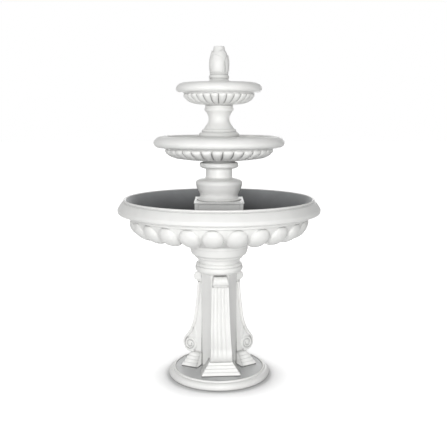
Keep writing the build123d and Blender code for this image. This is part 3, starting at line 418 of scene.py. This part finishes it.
def lobed_bowl(name, wall, rest, count, centre, lift, width, lined_rows=(0, 0), **more):
    """A bowl whose underside swells into lobes along its wall.
    wall runs from the lobes' roots to their heads and rest goes on over the rim, inside and back. lift and
    width give a lobe's height and its share of the pitch along the wall."""
    ribs = 14
    columns = ribs + 4
    share = math.pi / count
    spots, rows = [], []
    for i, point in enumerate(wall):
        before, after = wall[max(i - 1, 0)], wall[min(i + 1, len(wall) - 1)]
        run = (Vector(after) - Vector(before)).normalized()
        along = i / (len(wall) - 1)
        rows.append((point, Vector((run.y, -run.x)), lift(along), width(along)))
    rows += [(point, Vector((0, 0)), 0.0, width(1.0)) for point in rest]
    for (radius, height), outward, rise, broad in rows:
        for lobe in range(count):
            middle = math.radians(centre) + math.tau * lobe / count
            places = [(-1.0, 0.0), (-(1 + broad) / 2, 0.0)]
            places += [(-broad * math.cos(math.pi * k / ribs), math.sin(math.pi * k / ribs))
                       for k in range(ribs + 1)]
            places.append(((1 + broad) / 2, 0.0))
            for across, swell in places:
                spots.append(polar(radius + outward.x * rise * swell, middle + across * share,
                                   height + outward.y * rise * swell))
    faces = grid_faces(len(rows), columns * count, closed_rows=True)
    first, last = lined_rows
    slots = [int(first <= k // (columns * count) < last) for k in range(len(faces))]
    return piece(name, spots, faces, face_slots=slots, **more)


def swung(spots, angle):
    """Points swung round the axis by this many degrees."""
    out, across = math.cos(math.radians(angle)), math.sin(math.radians(angle))
    return [(x * out - y * across, x * across + y * out, z) for x, y, z in spots]


def joined(*parts):
    """Several (points, faces) as one."""
    spots, faces = [], []
    for more_spots, more_faces in parts:
        shift = len(spots)
        spots += more_spots
        faces += [tuple(k + shift for k in face) for face in more_faces]
    return spots, faces


def carved(line, half_at, face, flank, near, rear=CORE_FACE, columns=57, back=34):
    """Points and faces of a body that runs level from its face back to the core, with carved relief.
    line is the face seen from the side as (outwards, up), from the top down. face(across, half, along) and
    flank(out, up) say how deep each spot is cut, and near lists the first flank columns behind the face."""
    spots = []
    for i, (x, z) in enumerate(line):
        run = (Vector(line[min(i + 1, len(line) - 1)]) - Vector(line[max(i - 1, 0)])).normalized()
        half = half_at(z)
        along = i / (len(line) - 1)
        last = near[-1]
        places = list(near) + [last + (x - rear - last) * k / back for k in range(1, back + 1)]
        sides = [(x - place, half - flank(x - place, z)) for place in places]
        spots += [(out, -broad, z) for out, broad in reversed(sides)]
        brow = half - flank(x, z)
        for k in range(columns):
            across = (-1 + 2 * k / (columns - 1)) * brow
            deep = face(across, half, along)
            spots.append((x + run.y * deep, across, z - run.x * deep))
        spots += [(out, broad, z) for out, broad in sides]
    wide = columns + 2 * (len(near) + back)
    faces = grid_faces(len(line), wide)
    faces.append(tuple(range(wide)))
    faces.append(tuple(reversed(range(len(spots) - wide, len(spots)))))
    return spots, faces


def dress(made, cad_node):
    """Let a finished piece stand for a CAD node, on that node's body."""
    bodies = frame["record"]["behaviour"]["bodies"]
    body = [name for name, members in bodies.items() if cad_node in members][0]
    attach(made, body)
    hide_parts(cad_node)
    return made


# ---- settings

class FountainSizes(bpy.types.PropertyGroup):
    """Sizes in metres, and numbers of lobes and leaves."""
    eggs: IntProperty(name="Basin Eggs", description="Number of egg lobes under the basin", default=24)
    middle_lobes: IntProperty(name="Middle Lobes", description="Lobes under the middle bowl", default=32)
    top_lobes: IntProperty(name="Top Lobes", description="Lobes under the top bowl", default=28)
    leaves: IntProperty(name="Leaves", description="Leaves in each of the bud's two rings", default=3)
    edge: FloatProperty(name="Edge Radius", description="How round the cast edges are",
                        default=0.0006, unit="LENGTH")
    flute_depth: FloatProperty(name="Flute Depth", description="Depth of the flutes down a leg's front",
                               default=0.0016, unit="LENGTH")
    flank_relief: FloatProperty(name="Flank Relief", default=0.0027, unit="LENGTH",
                                description="How far the scroll stands off a leg's flank")


def tint(name, code, description):
    """A colour property whose default is an sRGB hex value."""
    return FloatVectorProperty(name=name, description=description, subtype="COLOR", default=linear(code))


class FountainColours(bpy.types.PropertyGroup):
    """Colours of the finishes."""
    resin: tint("Resin", "#f1f1ef", "Sprayed cast resin")
    lining: tint("Lining", "#a2a4a6", "Brushed lining of the basin")
    wash: tint("Wash", "#d0d1d1", "Thin grey wash on the foot plate's deck")
    rubber: tint("Rubber", "#232323", "Pads, grommet and seals")
    plastic: tint("Plastic", "#26282a", "Pump mouldings")
    steel: tint("Steel", "#c9c8c6", "Screws, washers and spindle")
    brass: tint("Brass", "#d9b36c", "Riser pipe, nuts and nozzle")


class FountainStage(bpy.types.PropertyGroup):
    """Camera and light."""
    lens: FloatProperty(name="Lens", description="Focal length in millimetres", default=54.36)
    distance: FloatProperty(name="Distance", description="Camera to axis", default=1.218, unit="LENGTH")
    height: FloatProperty(name="Height", description="Camera above the floor", default=0.476, unit="LENGTH")
    swing: FloatProperty(name="Swing", description="How far round to the left the camera stands",
                         subtype="ANGLE", default=math.radians(3.75), unit="ROTATION")
    tilt: FloatProperty(name="Tilt", description="How far the camera looks down", subtype="ANGLE",
                        default=math.radians(8.9), unit="ROTATION")
    key_power: FloatProperty(name="Key Power", description="Watts of the large front lamp", default=12.6)
    fill_power: FloatProperty(name="Fill Power", description="Watts of the side lamp", default=5.0)
    back_power: FloatProperty(name="Back Power", description="Watts of the lamp behind", default=8.0)
    ambient: FloatProperty(name="Ambient", description="Strength of the light from all round", default=0.42)


# ---- pieces

class FOUNTAIN_OT_foot_plate(bpy.types.Operator):
    """Build the round foot plate with its raised rim line"""
    bl_idname = "fountain.foot_plate"
    bl_label = "Foot Plate"

    def execute(self, context):
        edge = context.scene.fountain_sizes.edge / MM
        deck = outline((0, 15.5), (80.6, 15.5))
        ring = outline((80.9, 14.4), (81.8, 14.6), ((83.4, 16.8), (85.2, 15.4)), (85.9, 14.1), (86.9, 14.0),
                       ((93.5, 8.6), (91.4, 1.2)), (77, 1.5), (75, 8), (0, 8))
        plate = turned("foot_plate", deck + softened(ring, edge), finishes=("resin", "wash"), slots={0: 1})
        dress(plate, "base_plate")
        return {"FINISHED"}


class FOUNTAIN_OT_core(bpy.types.Operator):
    """Build the six-sided core between the legs"""
    bl_idname = "fountain.core"
    bl_label = "Pedestal Core"

    def execute(self, context):
        apothem, bore, foot, top = 28.0, 17.0, 15.5, 196.0
        corner = apothem / math.cos(math.radians(30))
        # each corner is turned over a short arc, as the mould's is
        sides, steps, half_arc, blunt, sag = 6, 7, math.radians(2.5), 0.5, 0.45
        ring = []
        for i in range(sides):
            for k in range(steps):
                share = -1 + 2 * k / (steps - 1)
                ring.append((corner - blunt - sag * share ** 2, math.tau * i / sides + half_arc * share))
        spots = []
        for inner, height in ((None, foot), (None, top), (bore, top), (bore, foot)):
            spots += [polar(inner or far, angle, height) for far, angle in ring]
        core = piece("pedestal_column", spots, grid_faces(4, len(ring), closed_rows=True))
        dress(core, "pedestal_core")
        return {"FINISHED"}


class FOUNTAIN_OT_collar(bpy.types.Operator):
    """Build the moulded collar that carries the basin"""
    bl_idname = "fountain.collar"
    bl_label = "Collar"

    def execute(self, context):
        edge = context.scene.fountain_sizes.edge / MM
        section = outline((17, 196), (36, 196), (36.4, 198.4), (40.4, 198.8), ((43.7, 203.4), (43.0, 208.6)),
                          (41.6, 209.4), (42.3, 210.2), ((42.1, 212.8), (39.8, 214.6)), (38.0, 215.3),
                          ((38.8, 219.6), (42.0, 223.2)), (41.7, 223.8), (43.4, 224.2), (44.4, 226.4),
                          ((46.4, 228.8), (49.0, 230.0)), (48.6, 230.6), (50.4, 231.0),
                          ((52.4, 237.0), (53.4, 243.0)), (53.0, 243.6), (53.7, 244.2), (54, 250),
                          (30, 250), (30, 222), (17, 222))
        dress(turned("collar_mouldings", softened(section, edge, closed=True)), "pedestal_collar")
        return {"FINISHED"}


class FOUNTAIN_OT_basin(bpy.types.Operator):
    """Build the wide basin with its egg lobes, rim and grey lining"""
    bl_idname = "fountain.basin"
    bl_label = "Basin"

    def execute(self, context):
        sizes = context.scene.fountain_sizes
        edge = sizes.edge / MM
        wall = resampled(outline((117, 268.4), ((146.5, 278.6), (159.2, 299.0))), 36)

        rise, peak, fall = 9.0, 0.64, 0.35

        def egg(along):
            if along < peak:
                return max(0.0, 1 - ((peak - along) / peak) ** 2) ** 0.72
            return max(0.0, 1 - ((along - peak) / fall) ** 2) ** 0.68

        def width(along):
            return 0.06 + 0.84 * egg(along) ** 0.8

        rim = outline((160.2, 299.4), (163.8, 299.6), ((165.3, 300.6), (165.3, 302.4)), (165.1, 305.2),
                      (166.2, 306.4), (178.6, 307.0), ((182.0, 308.4), (182.9, 311.4)), (182.9, 315.0),
                      ((179.8, 320.4), (174.4, 327.4)), (172.3, 328.0), (171.5, 329.2),
                      ((171.9, 331.8), (170.2, 332.8)), (168.4, 331.4))
        inside = outline((168.4, 331.2), (161, 322), (150.5, 299), ((141.5, 283), (124, 275)), (68, 258))
        under = outline((8, 258), (8, 250), (56, 250), (116, 267.4))
        first = softened(rim, edge)
        rest = first + inside[1:] + under
        start = len(wall) + len(first) - 1
        # the basin takes the darker copy of the resin, painted shade
        basin = lobed_bowl("basin_with_eggs", wall, rest, sizes.eggs, FRONT - 180.0 / sizes.eggs,
                           lambda along: rise * egg(along), width,
                           lined_rows=(start, start + len(inside)), finishes=("resin_shaded_basin", "lining"))
        dress(basin, "basin")
        return {"FINISHED"}


class FOUNTAIN_OT_plinth(bpy.types.Operator):
    """Build the plinth box under the stem, with its lip, sunk panels and water inlets"""
    bl_idname = "fountain.plinth"
    bl_label = "Plinth"

    # its turn in degrees, and half the width and the top of each inlet in millimetres
    turn = -3.75
    inlet = (7, 268)

    def execute(self, context):
        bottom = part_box("plinth")[0][2] / MM
        wall, room, hole, top, sill = 43.0, 38.0, 24.0, 329.6, self.inlet[1]
        rows = [(wall, bottom, 0.0), (wall, sill, 0.0), (wall, 271.0, 0.0), (wall, 272.6, 1.7),
                (wall, 323.8, 1.7), (wall, 325.2, 0.0), (wall, 326.6, 0.0), (44.0, 327.0, 0.0),
                (44.3, 327.5, 0.0), (44.3, 329.0, 0.0), (43.8, top, 0.0), (hole, top, 0.0),
                (hole, 321.0, 0.0), (room, 321.0, 0.0), (room, sill, 0.0), (room, bottom, 0.0)]
        rings = [self.ring(*row) for row in rows]
        spots = [spot for ring in rings for spot in ring]
        wide, last = len(rings[0]), len(rows) - 1
        # the inlet takes this stretch of each side, in the rows below its top
        side, gap = wide // 4, 3
        open_rows = (0, last - 1, last)
        faces = [face for k, face in enumerate(grid_faces(len(rows), wide, closed_rows=True))
                 if k // wide not in open_rows or k % side != gap]
        for k in range(gap, wide, side):
            outer, inner = k + wide, k + (last - 1) * wide
            faces.append((outer, outer + 1, inner + 1, inner))
            for edge in (k, k + 1):
                faces.append((edge, edge + wide, edge + (last - 1) * wide, edge + last * wide))
        # the plinth's finish carries painted shade, darker towards its foot
        dress(piece("panelled_plinth", spots, faces, finishes=("resin_low_shaded",)), "plinth")
        return {"FINISHED"}

    def ring(self, half, height, sunk, strip=5.6, corner=1.0):
        """A square with round corners, whose sides may be sunk between their corner strips."""
        broad = half - strip - 0.8
        side = [(half, -(half - corner)), (half, -(half - strip)), (half - sunk, -broad),
                (half - sunk, -self.inlet[0]), (half - sunk, self.inlet[0]), (half - sunk, broad),
                (half, half - strip), (half, half - corner), (half - 0.3 * corner, half - 0.3 * corner)]
        spots = []
        for k in range(4):
            spots += swung([(x, y, height) for x, y in side], 90 * k + self.turn)
        return spots


class FOUNTAIN_OT_bowls(bpy.types.Operator):
    """Build the middle and top bowls with their gadroons"""
    bl_idname = "fountain.bowls"
    bl_label = "Upper Bowls"

    def execute(self, context):
        sizes = context.scene.fountain_sizes
        edge = sizes.edge / MM

        def width(along):
            root = math.sqrt(max(0.01, 1 - max(0.0, 1 - along / 0.12) ** 2))
            head = 1 - 0.3 * max(0.0, (along - 0.93) / 0.07) ** 2
            return 0.95 * root * head

        def build(name, cad_node, wall, rim, rest, count, front, rise):
            made = lobed_bowl(name, wall, softened(rim, edge) + rest, count, front + 180.0 / count,
                              lambda along: rise * quarter(along, 0.9), width)
            dress(made, cad_node)

        wall = resampled(outline((38, 402.2), (73, 408.6), ((86.6, 413.2), (95.8, 421.6))), 34)
        rim = outline((96.2, 422.0), (98.6, 422.0), (99.2, 423.4), (106.0, 424.0),
                      ((115.0, 426.6), (117.4, 432.0)), ((113.6, 438.6), (101.6, 443.2)),
                      ((98.6, 444.0), (96.2, 442.8)))
        inside = outline((91, 424), ((84.6, 416.6), (74, 412.4)), (44, 408), (BORE, 408))
        under = outline((BORE, 400), (34, 400), (35.4, 401.6))
        build("middle_bowl_gadrooned", "middle_bowl", wall, rim, inside + under, sizes.middle_lobes,
              FRONT, 4.8)

        wall = resampled(outline((28, 500.2), (43, 503.8), ((54.0, 509.0), (61.6, 518.0))), 30)
        rim = outline((62.0, 518.4), (63.4, 518.4), (63.9, 519.6), (69.0, 520.0),
                      ((74.8, 522.4), (76.4, 527.0)), ((73.6, 532.6), (66.4, 536.2)),
                      ((64.0, 537.0), (62.2, 536.0)))
        inside = outline((57.2, 519), ((52.2, 511.8), (43, 507.4)), (30, 505), (BORE, 505))
        under = outline((BORE, 498), (25.6, 498), (26.4, 499.4))
        build("top_bowl_gadrooned", "top_bowl", wall, rim, inside + under, sizes.top_lobes,
              FRONT - 4.5, 3.8)
        return {"FINISHED"}


class FOUNTAIN_OT_stems(bpy.types.Operator):
    """Build the two turned stems"""
    bl_idname = "fountain.stems"
    bl_label = "Stems"

    def execute(self, context):
        edge = context.scene.fountain_sizes.edge / MM
        lower = outline((BORE, 329.6), (40.2, 329.6), (40.2, 331.6), (38.6, 332.6),
                        ((35.4, 334.6), (34.4, 338.4)), (34.4, 341.0), (35.6, 341.8), (35.6, 343.4),
                        ((39.4, 349.6), (41.6, 356.6)), ((41.8, 361.6), (38.4, 365.4)), (36.6, 366.2),
                        ((30.0, 368.0), (25.2, 369.2)), (24.0, 370.6), (23.6, 385.4), (25.0, 386.4),
                        ((31.0, 387.2), (34.4, 389.4)), ((35.0, 392.8), (33.8, 396.4)), (32.6, 397.2),
                        (29, 397.6), (29, 399.7), (26.6, 399.7), (26.6, 399), (BORE, 399))
        upper = outline((BORE, 409), (33, 409), (33, 441), (35.6, 443.2), ((36.2, 446.2), (33.6, 450.0)),
                        (32.2, 451.0), (30.6, 451.4), ((30.8, 453.6), (29.6, 455.8)), (27.4, 456.6),
                        ((25.4, 459.6), (22.6, 463.6)), ((18.6, 472.6), (20.4, 481.4)), (22.2, 485.0),
                        (23.8, 486.6), ((26.0, 490.6), (24.6, 494.4)), (24.2, 497.7), (21.6, 497.7),
                        (21.6, 497), (BORE, 497))
        for cad_node, section in (("lower_stem", lower), ("upper_stem", upper)):
            stem = turned(f"{cad_node}_turned", softened(section, edge, closed=True), segments=128)
            dress(stem, cad_node)
        return {"FINISHED"}


def half_width(height, foot=40.7, head=174.5):
    """Half the width of a leg's shaft at this height: it narrows upwards in a slow curve."""
    share = (height - foot) / (head - foot)
    return 19.8 - 5.0 * share + 0.8 * share * share


class FOUNTAIN_OT_legs(bpy.types.Operator):
    """Build the three scrolled legs with their flutes, volutes, caps and stepped feet"""
    bl_idname = "fountain.legs"
    bl_label = "Scrolled Legs"

    volute = (52.4, 55.0)
    cap_roll = (38.2, 186.4)
    roll_radius = 8.2

    def execute(self, context):
        sizes = context.scene.fountain_sizes
        spots, faces = joined(self.shaft(sizes.flute_depth / MM, sizes.flank_relief / MM), self.cap(),
                              self.foot())
        for name, angle in zip(LEG_NAMES, LEG_ANGLES):
            leg = piece(name.replace("leg", "scrolled_leg"), swung(spots, angle), faces)
            dress(leg, name)
        return {"FINISHED"}

    def shaft(self, depth, relief):
        """The fluted shaft, whose flanks carry a ridge that winds into the volute."""
        line = outline((37.2, 175.2), ((39.0, 150.0), (42.6, 119.0)), ((48.4, 92.6), (61.8, 70.0)),
                       ((66.6, 57.0), (61.2, 45.2)), ((55.4, 41.4), (48.4, 40.4)))
        line = resampled(line, 190)
        border, flutes = 3.6, 4

        def face(across, half, along):
            inner = half - border
            if abs(across) >= inner:
                return 0.0
            share = (across + inner) / (2 * inner) * flutes
            fade = smooth(along / 0.02) * smooth((0.93 - along) / 0.16)
            return depth * fade * math.sin(math.pi * (share % 1.0)) ** 0.7

        ridge = 4.4
        groove = []
        for here, after in zip(line, line[1:]):
            run = (Vector(after) - Vector(here)).normalized()
            spot = Vector(here) + Vector((run.y, -run.x)) * ridge
            if math.atan2(spot.y - self.volute[1], spot.x - self.volute[0]) > math.radians(28):
                groove.append(tuple(spot))
        groove += spiral(self.volute, 26, 1.62, 10.6, 3.9)
        from_edge = distance_from(line)
        from_groove = distance_from(groove, 1500)
        leaf_root, leaf_tip = Vector((40.4, 66.0)), Vector((44.8, 93.0))
        leaf_run = leaf_tip - leaf_root

        def flank(out, up):
            edge, dip = from_edge(out, up), from_groove(out, up)
            reach = math.hypot(out - self.volute[0], up - self.volute[1])
            turn = (28 - math.degrees(math.atan2(up - self.volute[1], out - self.volute[0]))) % 360
            coil = 20.0 if turn < 125 else 14.3 - 4.4 * (turn - 125) / 235
            # the sunk panel, the edge's round, the winding groove and the volute's eye
            deep = relief * min(smooth((reach - coil) / 1.3), smooth((edge - ridge + 0.3) / 1.5))
            deep += 0.35 * max(0.0, 1 - edge / 0.8) ** 2
            deep += 2.2 * math.exp(-(dip / 0.95) ** 2)
            deep -= 0.75 * math.sqrt(max(0.0, 1 - (reach / 3.4) ** 2))
            # the leaf above it, with a rib down its middle, and a small drilled hole
            spot = Vector((out, up)) - leaf_root
            share = spot.dot(leaf_run) / leaf_run.length_squared
            if 0 < share < 1:
                aside = abs(spot.cross(leaf_run)) / leaf_run.length
                broad = 3.4 * math.sin(math.pi * share ** 0.75)
                if aside < broad:
                    deep -= (0.9 * math.sqrt(1 - (aside / broad) ** 2)
                             - 0.45 * math.exp(-(aside / 0.5) ** 2)) * math.sin(math.pi * share) ** 0.5
            deep += 0.8 * math.exp(-((out - 46.6) ** 2 + (up - 86.0) ** 2) / 1.8)
            return deep

        near = (0.35, 0.7, 1.2, 1.9, 2.6, 3.2, 3.6, 4.0, 4.3, 4.6, 5.0, 5.4, 5.9, 6.4)
        return carved(line, half_width, face, flank, near)

    def cap(self):
        """The reeded cap, a short roll across the head of the shaft above a hollow neck."""
        x, z = self.cap_roll
        roll = self.roll_radius
        quirk = (x + roll * math.cos(math.radians(-58)), z + roll * math.sin(math.radians(-58)))
        line = outline((x, z + roll), ((x + roll, z), quirk), ((39.6, 177.8), (38.2, 175.2)))
        line = resampled(line, 52)
        reeds = 5

        def half_at(up):
            return 14.2 - 2.4 * max(0.0, (up - 181.0) / 13.6) ** 1.5 - 0.7 * smooth((180.0 - up) / 2.0)

        def face(across, half, along):
            swell = smooth((along - 0.06) / 0.1) * smooth((0.70 - along) / 0.08)
            return 0.55 * swell * (1 - abs(math.sin(math.pi * (across / half + 1) / 2 * reeds))) ** 1.6

        from_edge = distance_from(line, 300)
        from_groove = distance_from(spiral(self.cap_roll, -30, 1.2, 5.3, 2.2, 40), 300)

        def flank(out, up):
            reach = math.hypot(out - x, up - z)
            deep = 0.9 * max(0.0, 1 - from_edge(out, up) / 1.7) ** 2
            deep += 0.5 * math.exp(-(from_groove(out, up) / 0.6) ** 2)
            return deep + (1.0 * smooth((reach - roll + 0.6) / 1.2) if out < x else 0.0)

        return carved(line, half_at, face, flank, (0.3, 0.6, 1.0, 1.5), columns=61, back=30)

    def foot(self):
        """The foot, four slopes one on another with a fine ledge between them."""
        levels = [(15.5, 35.4, 61.0), (18.0, 35.4, 61.0), (18.7, 35.0, 60.7)]
        for up, half, reach in ((22.5, 32.4, 58.8), (28.0, 28.6, 55.9), (33.5, 24.9, 53.0)):
            levels += [(up - 0.8, half + 0.8, reach + 0.8), (up - 0.1, half + 0.4, reach + 0.4),
                       (up + 0.1, half - 1.1, reach - 1.1), (up + 1.1, half - 1.2, reach - 1.2)]
        levels += [(38.2, 21.9, 50.6), (38.8, 21.4, 50.2), (39.0, 20.4, 49.4), (41.2, 19.7, 48.6)]
        spots = []
        for up, half, reach in levels:
            ring = [(CORE_FACE, -half), (reach - 0.7, -half), (reach - 0.2, -half + 0.2), (reach, -half + 0.7)]
            spots += [(out, across, up) for out, across in ring]
            spots += [(out, -across, up) for out, across in reversed(ring)]
        faces = grid_faces(len(levels), 8)
        faces += [tuple(range(8)), tuple(len(spots) - 1 - k for k in range(8))]
        return spots, faces


class FOUNTAIN_OT_finial(bpy.types.Operator):
    """Build the bud finial: spread foot, ring mouldings, leaves and the inner bud"""
    bl_idname = "fountain.finial"
    bl_label = "Bud Finial"

    def execute(self, context):
        sizes = context.scene.fountain_sizes
        edge = sizes.edge / MM
        body = outline((6.5, 505), (21.2, 505), (21.2, 538.6), ((18.6, 540.0), (16.8, 542.8)), (16.2, 544.4),
                       ((17.8, 545.6), (17.9, 547.4)), ((17.4, 549.6), (16.0, 550.4)), (15.6, 551.6),
                       ((16.8, 552.6), (16.4, 554.4)), (15.6, 555.2), ((16.6, 566.0), (15.6, 580.0)),
                       ((13.6, 588.0), (10.8, 592.6)), (9.4, 598.8), (8.4, 599.8),
                       (3.9, 599.8), (3.9, 590), (6.5, 588))
        core = turned("bud_finial", softened(body, edge, closed=True), segments=96)
        dress(core, "finial")
        for ring, first, tip, reach, drawn in ((0, -123.0, 584.8, 18.4, 2.4), (1, -62.0, 592.8, 16.8, 4.4)):
            for k in range(sizes.leaves):
                middle = math.radians(first + 360.0 * k / sizes.leaves)
                leaf_piece = self.leaf(f"bud_leaf_{ring}_{k}", middle, tip, reach, drawn,
                                       0.9 * math.pi / sizes.leaves)
                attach(leaf_piece, "finial")
        return {"FINISHED"}

    def leaf(self, name, middle, tip, reach, drawn, spread):
        """A broad leaf that hugs the bud, with a round tip drawn in over it."""
        rows, wide, foot = 22, 13, 554.6
        inner, outer = [], []
        for row in range(rows):
            share = row / (rows - 1)
            height = foot + (tip - foot) * share
            swell = reach - 1.6 * max(0.0, 1 - share / 0.3) ** 2 - drawn * max(0.0, (share - 0.5) / 0.5) ** 2
            half = spread * (0.92 + 0.08 * min(1.0, share / 0.5))
            half *= math.sqrt(max(0.0, 1 - max(0.0, (share - 0.56) / 0.44) ** 2.4))
            for k in range(wide):
                across = -1 + 2 * k / (wide - 1)
                angle = middle + across * half
                far = swell - 0.6 * across * across
                edge_in = 0.9 if abs(across) < 1 and row < rows - 1 else 0.15
                outer.append(polar(far, angle, height))
                inner.append(polar(far - edge_in, angle, height))
        faces = grid_faces(rows, wide, closed_columns=False)
        count = len(outer)
        faces += [tuple(count + k for k in reversed(face)) for face in faces]
        rim = [row * wide for row in range(rows)] + [(rows - 1) * wide + k for k in range(1, wide)]
        rim += [row * wide + wide - 1 for row in range(rows - 2, -1, -1)] + list(range(wide - 2, 0, -1))
        for a, b in zip(rim, rim[1:] + rim[:1]):
            faces.append((a, b, count + b, count + a))
        return piece(name, outer + inner, faces)


class FOUNTAIN_OT_hardware(bpy.types.Operator):
    """Give the CAD's own pump, pipe, pads and fasteners their finishes"""
    bl_idname = "fountain.hardware"
    bl_label = "Hardware Finishes"

    def execute(self, context):
        slots = {"cast_resin": "resin", "rubber": "rubber", "stainless_steel": "steel",
                 "pump_plastic": "plastic", "riser_brass": "brass"}
        for part in frame["record"]["subparts"]:
            coat(frame["nodes"][part["node"]], slots[part["material_slot"]])
        return {"FINISHED"}


class FOUNTAIN_OT_studio(bpy.types.Operator):
    """Set up the floor, the lamps, the white surround and the camera"""
    bl_idname = "fountain.studio"
    bl_label = "Studio"

    # each lamp's name, place and width in metres
    lamps = (("key", (-0.34, -1.5, 0.50), 0.7), ("fill", (0.42, -1.45, 0.30), 0.8),
             ("back", (0.25, 1.6, 0.42), 0.9))
    middle = (0, 0, 0.3)
    lens_shift = 0.010

    def execute(self, context):
        stage = context.scene.fountain_stage
        scene = context.scene
        scene.view_settings.view_transform = "Standard"
        camera = bpy.data.objects.new("camera", bpy.data.cameras.new("camera"))
        camera.data.lens = stage.lens
        camera.data.sensor_width = 36.0
        camera.data.shift_x = self.lens_shift
        camera.location = (-stage.distance * math.sin(stage.swing), -stage.distance * math.cos(stage.swing),
                           stage.height)
        camera.rotation_euler = (math.radians(90) - stage.tilt, 0, -stage.swing)
        scene.collection.objects.link(camera)
        scene.camera = camera
        self.floor()
        self.surround(scene, stage.ambient)
        for name, place, size in self.lamps:
            self.lamp(f"{name}_lamp", place, size, getattr(stage, f"{name}_power"))
        return {"FINISHED"}

    def lamp(self, name, place, size, power):
        """A large square soft lamp aimed at the fountain's middle."""
        data = bpy.data.lights.new(name, "AREA")
        data.size = size
        data.energy = power
        made = bpy.data.objects.new(name, data)
        made.location = place
        aim = Vector(self.middle) - Vector(place)
        made.rotation_euler = aim.to_track_quat("-Z", "Y").to_euler()
        bpy.context.scene.collection.objects.link(made)

    def floor(self):
        """A pale matt sheet that goes white where the light falls, with a painted soft shadow where the
        fountain stands close over it.
        """
        half = 12
        mesh = bpy.data.meshes.new("floor")
        mesh.from_pydata([(-half, -half, 0), (half, -half, 0), (half, half, 0), (-half, half, 0)], [],
                         [(0, 1, 2, 3)])
        made = bpy.data.objects.new("floor", mesh)
        bpy.context.scene.collection.objects.link(made)
        material, tree, shader = blank("paper_backdrop_matt")
        feed(tree, shader, {"Base Color": (*linear("#c8c8c8"), 1), "Roughness": 0.9})
        # a painted shadow: the sheet's own glow fades where the fountain stands close over it
        near = node(tree, "ShaderNodeAmbientOcclusion", {"Distance": 0.22}, samples=16)
        shade = node(tree, "ShaderNodeMapRange", {"Value": near.outputs["AO"], "From Min": 0.72,
                                                  "From Max": 0.985, "To Min": 0.1, "To Max": 0.95})
        strength = node(tree, "ShaderNodeMath", {0: self.seen(tree), 1: shade.outputs["Result"]},
                        operation="MULTIPLY")
        glow = node(tree, "ShaderNodeEmission", {"Color": (1, 1, 1, 1), "Strength": strength.outputs[0]})
        both = node(tree, "ShaderNodeAddShader", {0: shader.outputs[0], 1: glow.outputs[0]})
        feed(tree, tree.nodes["Material Output"], {"Surface": both.outputs[0]})
        mesh.materials.append(material)

    def seen(self, tree):
        """One where the camera, a reflection or a refraction looks, nought for light that falls on things."""
        path = node(tree, "ShaderNodeLightPath").outputs
        level = path["Is Camera Ray"]
        for ray in ("Is Glossy Ray", "Is Transmission Ray"):
            level = node(tree, "ShaderNodeMath", {0: level, 1: path[ray]}, operation="MAXIMUM").outputs[0]
        return level

    def surround(self, scene, ambient):
        """A white surround to look at, which lights the fountain only as much as ambient says."""
        world = bpy.data.worlds.new("surround")
        scene.world = world
        world.use_nodes = True
        tree = world.node_tree
        # a black flag stands at the right, so that round edges end in a darker line there
        towards = node(tree, "ShaderNodeTexCoord").outputs["Generated"]
        aside = node(tree, "ShaderNodeSeparateXYZ", {"Vector": towards}).outputs["X"]
        flag = node(tree, "ShaderNodeMapRange", {"Value": aside, "From Min": 0.3, "From Max": 0.8,
                                                 "To Min": ambient, "To Max": 0.2 * ambient})
        strength = node(tree, "ShaderNodeMapRange", {"Value": self.seen(tree),
                                                     "To Min": flag.outputs["Result"]})
        feed(tree, tree.nodes["Background"], {"Color": (1, 1, 1, 1), "Strength": strength.outputs["Result"]})


class FOUNTAIN_PT_panel(bpy.types.Panel):
    """Lists the fountain's builders in the sidebar"""
    bl_idname = "FOUNTAIN_PT_panel"
    bl_label = "Fountain"
    bl_space_type = "VIEW_3D"
    bl_region_type = "UI"
    bl_category = "Fountain"

    def draw(self, context):
        for group in ("fountain_sizes", "fountain_colours", "fountain_stage"):
            values = getattr(context.scene, group)
            for name in values.__annotations__:
                self.layout.prop(values, name)
        for operator in OPERATORS:
            self.layout.operator(operator.bl_idname)


GROUPS = {"fountain_sizes": FountainSizes, "fountain_colours": FountainColours,
          "fountain_stage": FountainStage}
OPERATORS = (FOUNTAIN_OT_hardware, FOUNTAIN_OT_foot_plate, FOUNTAIN_OT_core, FOUNTAIN_OT_legs,
             FOUNTAIN_OT_collar, FOUNTAIN_OT_basin, FOUNTAIN_OT_plinth, FOUNTAIN_OT_bowls, FOUNTAIN_OT_stems,
             FOUNTAIN_OT_finial, FOUNTAIN_OT_studio)


def register():
    for group in GROUPS.values():
        bpy.utils.register_class(group)
    for name, group in GROUPS.items():
        setattr(bpy.types.Scene, name, PointerProperty(type=group))
    for kind in (*OPERATORS, FOUNTAIN_PT_panel):
        bpy.utils.register_class(kind)


def unregister():
    for kind in reversed((*OPERATORS, FOUNTAIN_PT_panel)):
        bpy.utils.unregister_class(kind)
    for name, group in GROUPS.items():
        delattr(bpy.types.Scene, name)
        bpy.utils.unregister_class(group)


def main():
    register()
    for operator in OPERATORS:
        group, name = operator.bl_idname.split(".")
        getattr(getattr(bpy.ops, group), name)()


if __name__ == "__main__":
    main()
